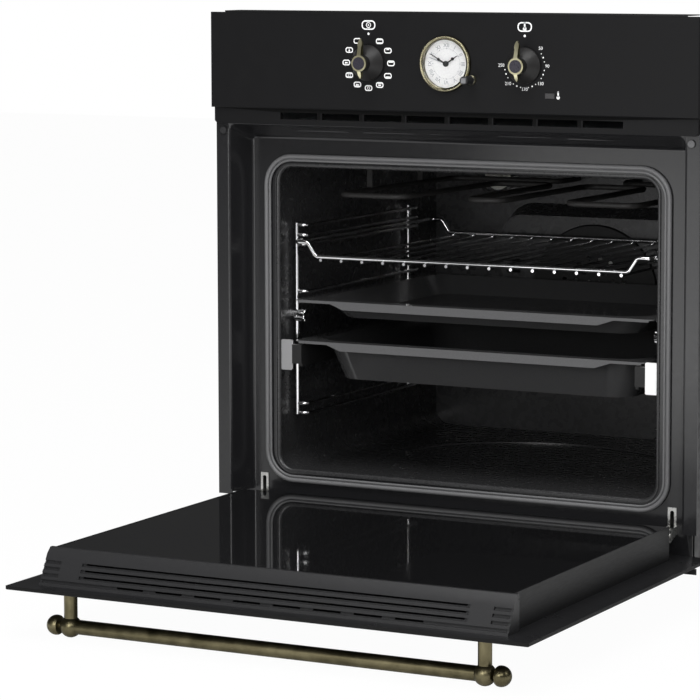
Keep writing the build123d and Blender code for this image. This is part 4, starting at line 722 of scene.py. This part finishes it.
print_white = new_material("print_white", (0.82, 0.82, 0.82), 0.5)
print_grain = add_noise(print_white, 2000, 2)
tint(print_white, print_grain, (0.76, 0.76, 0.76), (0.86, 0.86, 0.86))
print_rise = 0.00008
print_depth = front_y - print_rise
knob_x = 0.095
knob_z = 0.5405
marks = []


def print_bar(x, z, width, height, turn=0):
    """Adds one straight stroke to the marks, turned clockwise by an angle in degrees."""
    bpy.ops.object.select_all(action="DESELECT")
    bpy.ops.mesh.primitive_plane_add(size=1, location=(x, print_depth, z), rotation=upright)
    piece = bpy.context.object
    piece.scale = (width, height, 1)
    bpy.ops.object.transform_apply(location=False, rotation=True, scale=True)
    piece.rotation_euler.y = math.radians(turn)
    bpy.ops.object.transform_apply(location=False, rotation=True, scale=True)
    marks.append(piece)
    return piece


def print_frame(x, z, width, height, stroke, corner):
    """Adds one frame with round corners to the marks."""
    piece = print_bar(x, z, width, height)
    bpy.ops.object.mode_set(mode="EDIT")
    bpy.ops.mesh.select_all(action="SELECT")
    bpy.ops.mesh.bevel(offset=corner, segments=4, affect="VERTICES", clamp_overlap=False)
    bpy.ops.mesh.select_all(action="SELECT")
    bpy.ops.mesh.inset(thickness=stroke, depth=0)
    bpy.ops.mesh.delete(type="FACE")
    bpy.ops.object.mode_set(mode="OBJECT")


def print_dot(x, z, radius):
    """Adds one dot to the marks."""
    marks.append(add_disc(x, print_depth, z, radius, 16))


def print_circle(x, z, radius, stroke):
    """Adds one circle to the marks."""
    piece = add_disc(x, print_depth, z, radius, 24)
    bpy.ops.object.mode_set(mode="EDIT")
    bpy.ops.mesh.select_all(action="SELECT")
    bpy.ops.mesh.inset(thickness=stroke, depth=0)
    bpy.ops.mesh.delete(type="FACE")
    bpy.ops.object.mode_set(mode="OBJECT")
    marks.append(piece)


def print_text(words, x, z, size, turn=0):
    """Adds figures to the marks, turned clockwise by an angle in degrees."""
    bpy.ops.object.select_all(action="DESELECT")
    bpy.ops.object.text_add()
    piece = bpy.context.object
    piece.data.body = words
    piece.data.size = size
    piece.data.align_x = "CENTER"
    piece.data.align_y = "CENTER"
    piece.data.resolution_u = 3
    bpy.ops.object.convert(target="MESH")
    piece = bpy.context.object
    piece.rotation_euler.x = math.radians(90)
    bpy.ops.object.transform_apply(location=False, rotation=True, scale=True)
    piece.rotation_euler.y = math.radians(turn)
    bpy.ops.object.transform_apply(location=False, rotation=True, scale=True)
    piece.location = (x, print_depth, z)
    marks.append(piece)


def settle_marks(name, material, body, depth):
    """Joins all the marks into one piece at its own depth, and clears their list."""
    piece = join(marks)
    piece.location.y = depth
    settle(piece, name, material, body)
    marks.clear()


def around(middle_x, middle_z, radius, turn):
    """A place on a circle, at an angle in degrees clockwise from its top."""
    angle = math.radians(turn)
    return middle_x + radius * math.sin(angle), middle_z + radius * math.cos(angle)


sign_width = 0.0172
sign_height = 0.0104
sign_stroke = 0.0014
sign_corner = 0.0046
sign_z = knob_z + 0.0417
dot_z = knob_z + 0.0321
dot_radius = 0.0014
for side in (-1, 1):
    print_frame(side * knob_x, sign_z, sign_width, sign_height, sign_stroke, sign_corner)
    print_dot(side * knob_x, dot_z, dot_radius)
eye_radius = 0.0031
eye_stroke = 0.0008
pupil_radius = 0.0009
print_circle(-knob_x, sign_z, eye_radius, eye_stroke)
print_dot(-knob_x, sign_z, pupil_radius)


def print_thermometer(x, z, height):
    """A sign for heat: a thermometer's stem on its bulb, in shares of its height."""
    print_bar(x, z + 0.12 * height, 0.22 * height, 0.70 * height)
    print_dot(x, z + 0.46 * height, 0.11 * height)
    print_dot(x, z - 0.26 * height, 0.25 * height)


thermometer_z = sign_z + 0.0002
thermometer_height = 0.0086
print_thermometer(knob_x, thermometer_z, thermometer_height)


def print_fan(x, z):
    """A sign for the fan: a large blade and a small one."""
    print_dot(x - 0.0008, z - 0.0003, 0.0011)
    print_dot(x + 0.0010, z - 0.0003, 0.0008)


def print_lamp(x, z):
    """A sign for the light: a slanting cap over a bulb."""
    print_dot(x, z - 0.0006, 0.0011)
    print_bar(x, z + 0.0008, 0.0009, 0.0016, 20)


icon_ring = 0.0278
icon_width = 0.0094
icon_height = 0.0063
icon_stroke = 0.0012
icon_corner = 0.0026
icon_step = 30
heat_width = 0.0054
heat_rise = 0.0015
heat_line = 0.0007
grill_rise = 0.0012
grill_line = 0.0012
ring_radius = 0.0017
ring_stroke = 0.0006
for turn in range(icon_step, 360, icon_step):
    x, z = around(-knob_x, knob_z, icon_ring, turn)
    print_frame(x, z, icon_width, icon_height, icon_stroke, icon_corner)
    if turn in (30, 150, 240):
        print_bar(x, z + heat_rise, heat_width, heat_line)
    if turn in (30, 210, 240):
        print_bar(x, z - heat_rise, heat_width, heat_line)
    if turn in (60, 90):
        print_bar(x, z + grill_rise, heat_width * turn / 90, grill_line)
    if turn == 120:
        print_bar(x, z - grill_rise, heat_width, grill_line)
    if turn in (180, 240):
        print_circle(x, z, ring_radius, ring_stroke)
    if turn in (150, 210, 270):
        print_fan(x, z)
    if turn == 300:
        print_lamp(x, z)

figure_size = 0.0050
figure_step = 45
figures = (
    ("50", 0.0268),
    ("90", 0.0268),
    ("130", 0.0268),
    ("170", 0.0255),
    ("210", 0.0278),
    ("250", 0.0278),
)
scale_ring = 0.0238
scale_dots = (0.00062, 0.0009, 0.00062)
for count, (figure, figure_ring) in enumerate(figures, start=1):
    turn = figure_step * count
    x, z = around(knob_x, knob_z, figure_ring, turn)
    print_text(figure, x, z, figure_size)
    if count < len(figures):
        for part, radius in enumerate(scale_dots, start=1):
            x, z = around(knob_x, knob_z, scale_ring, turn + part * figure_step / 4)
            print_dot(x, z, radius)

pilot_sign_x = 0.1348
pilot_sign_z = 0.5091
pilot_sign_height = 0.0080
print_thermometer(pilot_sign_x, pilot_sign_z, pilot_sign_height)
settle_marks("panel_marks", print_white, "body", print_depth)

# Matt black fields of painted shade on the webs of the air outlet, which leave one bare line on
# each, so that the openings read as one long slot with thin bars.

outlet_pitch = 0.053
web_width = 0.0060
bare_line = 0.0016
opening_height = 0.0075
shade_field_width = web_width - bare_line
shade_field_z = opening_top - opening_height / 2
# Painted shade: black fields over the webs.
for count in range(-3, 4):
    print_bar(count * outlet_pitch - bare_line / 2, shade_field_z, shade_field_width, opening_height)
settle_marks("outlet_shade_fields", outlet_shade_black, "body", outlet_face - print_rise)

# Knobs. Domed skirts turned from phenolic resin, almost as dark as the panel, and
# pushed on the spindles of the switch and the thermostat.

knob_black = new_material("knob_black", (0.013, 0.0125, 0.0125), 0.40, 0, 0.28)
knob_grain = add_noise(knob_black, 1800, 2)
vary(knob_black, knob_grain, "Roughness", 0.33, 0.45)
for name in ("function_knob", "thermostat_knob"):
    dress(name, knob_black)

# Switch, clock movement and terminal box, moulded from black plastic, and the
# thermostat in its steel case, all screwed down inside the casing.

for name in ("function_switch", "clock_movement", "terminal_box"):
    dress(name, dark_plastic)
dress("thermostat", motor_steel)

# Pointers of the knobs. Polished brass, cast with a ring that holds a dark enamelled cap, and
# painted a darker olive on every face but the front, as painted shade.

pale_brass = new_material("pale_brass", (0.70, 0.66, 0.44), 0.30, 1.0)
brass_grain = add_noise(pale_brass, 90, 2)
tint(pale_brass, brass_grain, (0.66, 0.62, 0.40), (0.74, 0.70, 0.48))
vary(pale_brass, brass_grain, "Roughness", 0.27, 0.34)
shaded_olive_brass = new_material("shaded_olive_brass", (0.13, 0.12, 0.05), 0.36, 1.0)
shaded_olive_grain = add_noise(shaded_olive_brass, 120, 3)
tint(shaded_olive_brass, shaded_olive_grain, (0.10, 0.09, 0.04), (0.17, 0.155, 0.07))
vary(shaded_olive_brass, shaded_olive_grain, "Roughness", 0.30, 0.42)
cap_black = new_material("cap_black", (0.024, 0.022, 0.032), 0.30, 0, 0.5)
cap_grain = add_noise(cap_black, 900, 2)
vary(cap_black, cap_grain, "Roughness", 0.25, 0.36)
cap_radius = 0.0070
cap_sides = 40
cap_front = front_y - 0.0236
cap_steps = ((0, 0.0006), (0.0006, 0.0004), (0.0020, 0.0003), (0.0020, 0.0001))
for side, name in ((-1, "function"), (1, "thermostat")):
    dress(name + "_pointer", pale_brass)
    # Painted shade: the faces that don't face the front get the darker olive brass.
    repaint(name + "_pointer", shaded_olive_brass, lambda middle, normal: normal.y > -0.5)
    cap = add_disc(side * knob_x, cap_front, knob_z, cap_radius, cap_sides)
    draw_up(cap, cap_steps)
    smooth_over(cap, 40)
    settle(cap, name + "_cap", cap_black, name + "_control")

# Clock bezel. Spun from antique brass, with a rope pattern rolled round its edge,
# which rubs bright.

antique_brass = new_material("antique_brass", (0.13, 0.12, 0.075), 0.22, 1.0)
bezel_patina = add_noise(antique_brass, 90, 4)
tint(antique_brass, bezel_patina, (0.10, 0.09, 0.055), (0.17, 0.155, 0.10))
vary(antique_brass, bezel_patina, "Roughness", 0.18, 0.28)
rope_brass = new_material("rope_brass", (0.42, 0.39, 0.27), 0.16, 1.0)
rope_grain = add_noise(rope_brass, 200, 2)
tint(rope_brass, rope_grain, (0.36, 0.33, 0.22), (0.48, 0.45, 0.32))
vary(rope_brass, rope_grain, "Roughness", 0.13, 0.20)
dress("clock_bezel", antique_brass)
clock_z = 0.541
rope_ring = 0.0290
rope_depth = front_y - 0.0037
rope_count = 96
strand_radius = 0.00065
strand_stretch = 2.8
strand_slant = 52
bpy.ops.object.select_all(action="DESELECT")
bpy.ops.mesh.primitive_uv_sphere_add(segments=8, ring_count=5, radius=strand_radius)
strand = bpy.context.object
strand.scale = (1.0, 1.0, strand_stretch)
strand.rotation_euler.y = math.radians(strand_slant)
bpy.ops.object.transform_apply(location=True, rotation=True, scale=True)
strands = []
for count in range(rope_count):
    turn = 360 * count / rope_count
    x, z = around(0, clock_z, rope_ring, turn)
    strands.append(copy_to(strand, (x, rope_depth, z), turn))
bpy.data.objects.remove(strand)
rope = join(strands)
bpy.ops.object.shade_smooth()
settle(rope, "bezel_rope", rope_brass, "body")

# Clock face. A white enamelled dial with grey numerals and a ring of minute marks,
# under a flat lens of thin clear glass.

dress("clock_lens", clear_glass("clock_glass", 1.12))
dial_white = new_material("dial_white", (0.86, 0.86, 0.86), 0.45)
dial_grain = add_noise(dial_white, 500, 2)
tint(dial_white, dial_grain, (0.83, 0.83, 0.83), (0.88, 0.88, 0.88))
dress("clock_dial", dial_white)
dial_grey = new_material("dial_grey", (0.36, 0.37, 0.41), 0.6)
ink_grain = add_noise(dial_grey, 2000, 2)
tint(dial_grey, ink_grain, (0.26, 0.27, 0.30), (0.36, 0.37, 0.40))
dial_face = front_y + 0.0020
numerals = ("XII", "I", "II", "III", "IIII", "V", "VI", "VII", "VIII", "IX", "X", "XI")
numeral_ring = 0.0200
numeral_size = 0.0062
track_ring = 0.0166
five_mark = (0.0007, 0.0014)
minute_mark = (0.0008, 0.0004)
for hour, numeral in enumerate(numerals):
    turn = 30 * hour
    x, z = around(0, clock_z, numeral_ring, turn)
    print_text(numeral, x, z, numeral_size, turn)
for minute in range(60):
    turn = 6 * minute
    x, z = around(0, clock_z, track_ring, turn)
    width, height = minute_mark if minute % 5 else five_mark
    print_bar(x, z, width, height, turn)
settle_marks("dial_marks", dial_grey, "body", dial_face - print_rise)

# Hands of the clock. Blackened steel, each stamped with a round bead on its stem,
# and the plain grey hand of the alarm.

hand_black = new_material("hand_black", (0.01, 0.01, 0.01), 0.5)
hand_grain = add_noise(hand_black, 1500, 2)
vary(hand_black, hand_grain, "Roughness", 0.42, 0.58)
for name in ("minute_hand", "hour_hand"):
    dress(name, hand_black)
hand_grey = new_material("hand_grey", (0.42, 0.43, 0.45), 0.5)
alarm_grain = add_noise(hand_grey, 1500, 2)
vary(hand_grey, alarm_grain, "Roughness", 0.42, 0.58)
dress("alarm_hand", hand_grey)
bead_ring = 0.0097
bead_radius = 0.0017
bead_rise = 0.00005
for name, turn in (("minute_hand", 300), ("hour_hand", 55)):
    x, z = around(0, clock_z, bead_ring, turn)
    bead = add_disc(x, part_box(name)[0].y - bead_rise, z, bead_radius, 16)
    settle(bead, name + "_bead", hand_black, name)

# Setting knob of the clock: black plastic in a collar of brass, with grey ribs painted on its end,
# which stand for ribbing and are also a painted highlight.

dress("clock_knob", dark_plastic)
setting_x = 0.0322
setting_z = 0.5240
setting_radius = 0.0016
collar_back = front_y - 0.0046
repaint(
    "clock_knob",
    pale_brass,
    lambda middle, normal: collar_back < middle.y < front_y
    and math.hypot(middle.x - setting_x, middle.z - setting_z) > setting_radius,
)
rib_pitch = 0.0014
rib_width = 0.0009
rib_height = 0.0056
knob_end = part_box("clock_knob")[0].y
# Painted highlight: grey ribs on the knob's end, which also stand for its ribbing.
rib_highlight_grey = new_material("rib_highlight_grey", (0.24, 0.24, 0.25), 0.45)
rib_grain = add_noise(rib_highlight_grey, 1500, 2)
tint(rib_highlight_grey, rib_grain, (0.19, 0.19, 0.20), (0.29, 0.29, 0.30))
for count in (-1.5, -0.5, 0.5, 1.5):
    print_bar(setting_x + count * rib_pitch, setting_z, rib_width, rib_height)
settle_marks("setting_highlight_ribs", rib_highlight_grey, "clock_control", knob_end - print_rise)

# Pilot lamp. A small window of smoked plastic, pressed into the panel from behind,
# with no light on.

pilot_smoke = new_material("pilot_smoke", (0.042, 0.041, 0.042), 0.35, 0, 0.3)
pilot_grain = add_noise(pilot_smoke, 1500, 2)
vary(pilot_smoke, pilot_grain, "Roughness", 0.30, 0.42)
dress("pilot_lamp", pilot_smoke)

# Floor and backdrop of the studio. Matt white, and white of themselves where the
# camera sees them, so that the ground of the picture is plain.


def seen_directly(tree):
    """A socket that is 1 where the camera sees a place itself or through glass."""
    light_path = tree.nodes.new("ShaderNodeLightPath")
    seen = tree.nodes.new("ShaderNodeMath")
    seen.operation = "MAXIMUM"
    tree.links.new(light_path.outputs["Is Camera Ray"], seen.inputs[0])
    tree.links.new(light_path.outputs["Is Transmission Ray"], seen.inputs[1])
    return seen.outputs["Value"]


stage_white = new_material("stage_white", (0.88, 0.88, 0.88), 0.9)
tree = stage_white.node_tree
glow = tree.nodes.new("ShaderNodeEmission")
glow.inputs["Strength"].default_value = 1.0
mix = tree.nodes.new("ShaderNodeMixShader")
share = tree.nodes.new("ShaderNodeMath")
share.operation = "MULTIPLY"
share.inputs[1].default_value = 0.97
tree.links.new(seen_directly(tree), share.inputs[0])
tree.links.new(share.outputs["Value"], mix.inputs["Fac"])
tree.links.new(tree.nodes["Principled BSDF"].outputs["BSDF"], mix.inputs[1])
tree.links.new(glow.outputs["Emission"], mix.inputs[2])
tree.links.new(mix.outputs["Shader"], tree.nodes["Material Output"].inputs["Surface"])
floor_gap = 0.002
floor_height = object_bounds()[0].z - floor_gap
bpy.ops.object.select_all(action="DESELECT")
bpy.ops.mesh.primitive_plane_add(size=14, location=(0, 1, floor_height))
floor = bpy.context.object
floor.name = "floor"
floor.data.materials.append(stage_white)

world = bpy.data.worlds.new("studio")
bpy.context.scene.world = world
world.use_nodes = True
tree = world.node_tree
background = tree.nodes["Background"]
light_path = tree.nodes.new("ShaderNodeLightPath")
level = tree.nodes.new("ShaderNodeMapRange")
level.inputs["To Min"].default_value = 0.40
level.inputs["To Max"].default_value = 1.0
mirrored = tree.nodes.new("ShaderNodeMix")
mirrored.inputs["B"].default_value = 0.05
tree.links.new(seen_directly(tree), level.inputs["Value"])
tree.links.new(light_path.outputs["Is Glossy Ray"], mirrored.inputs["Factor"])
tree.links.new(level.outputs["Result"], mirrored.inputs["A"])
tree.links.new(mirrored.outputs["Result"], background.inputs["Strength"])
background.inputs["Color"].default_value = (1, 1, 1, 1)

# Lamps. A large soft box above, a low one that the frame's right half mirrors, one
# in front that lights the cavity, one over the camera, and a weak one at the right.


def soft_box(name, place, target, width, height, power):
    """One rectangular studio lamp that points at a place."""
    data = bpy.data.lights.new(name, "AREA")
    data.shape = "RECTANGLE"
    data.size = width
    data.size_y = height
    data.energy = power
    lamp = bpy.data.objects.new(name, data)
    bpy.context.scene.collection.objects.link(lamp)
    lamp.location = place
    line = Vector(target) - Vector(place)
    lamp.rotation_euler = line.to_track_quat("-Z", "Y").to_euler()


soft_box("top_box", (0.3, -1.4, 2.4), (0, -0.2, 0.2), 2.2, 1.4, 50)
soft_box("front_box", (-0.26, -1.5, 0.215), (-0.26, 0, 0.215), 0.60, 0.42, 1.3)
soft_box("cavity_box", (0.15, -2.6, 0.72), (0, 0, 0.25), 0.8, 0.6, 14)
soft_box("fill_box", (1.5, -2.9, 1.5), (0, 0.1, 0.25), 0.9, 0.9, 14)
soft_box("right_box", (2.6, -0.6, 1.6), (0, -0.2, 0.2), 1.0, 1.2, 10)

# Camera at the photograph's place. It stands to the right of the oven and looks down
# on it a little, through a long lens.

camera_data = bpy.data.cameras.new("camera")
camera = bpy.data.objects.new("camera", camera_data)
bpy.context.scene.collection.objects.link(camera)
camera.location = (1.5132, -3.3265, 0.6650)
camera_yaw = math.radians(26.884)
camera_pitch = math.radians(-6.059)
camera.rotation_euler = (math.radians(90) + camera_pitch, 0, camera_yaw)
camera_data.lens = 160.11
camera_data.sensor_width = 36
camera_data.shift_x = -0.1
camera_data.shift_y = -0.1
camera_data.clip_start = 0.1
camera_data.clip_end = 100
bpy.context.scene.camera = camera
bpy.context.scene.view_settings.view_transform = "Standard"
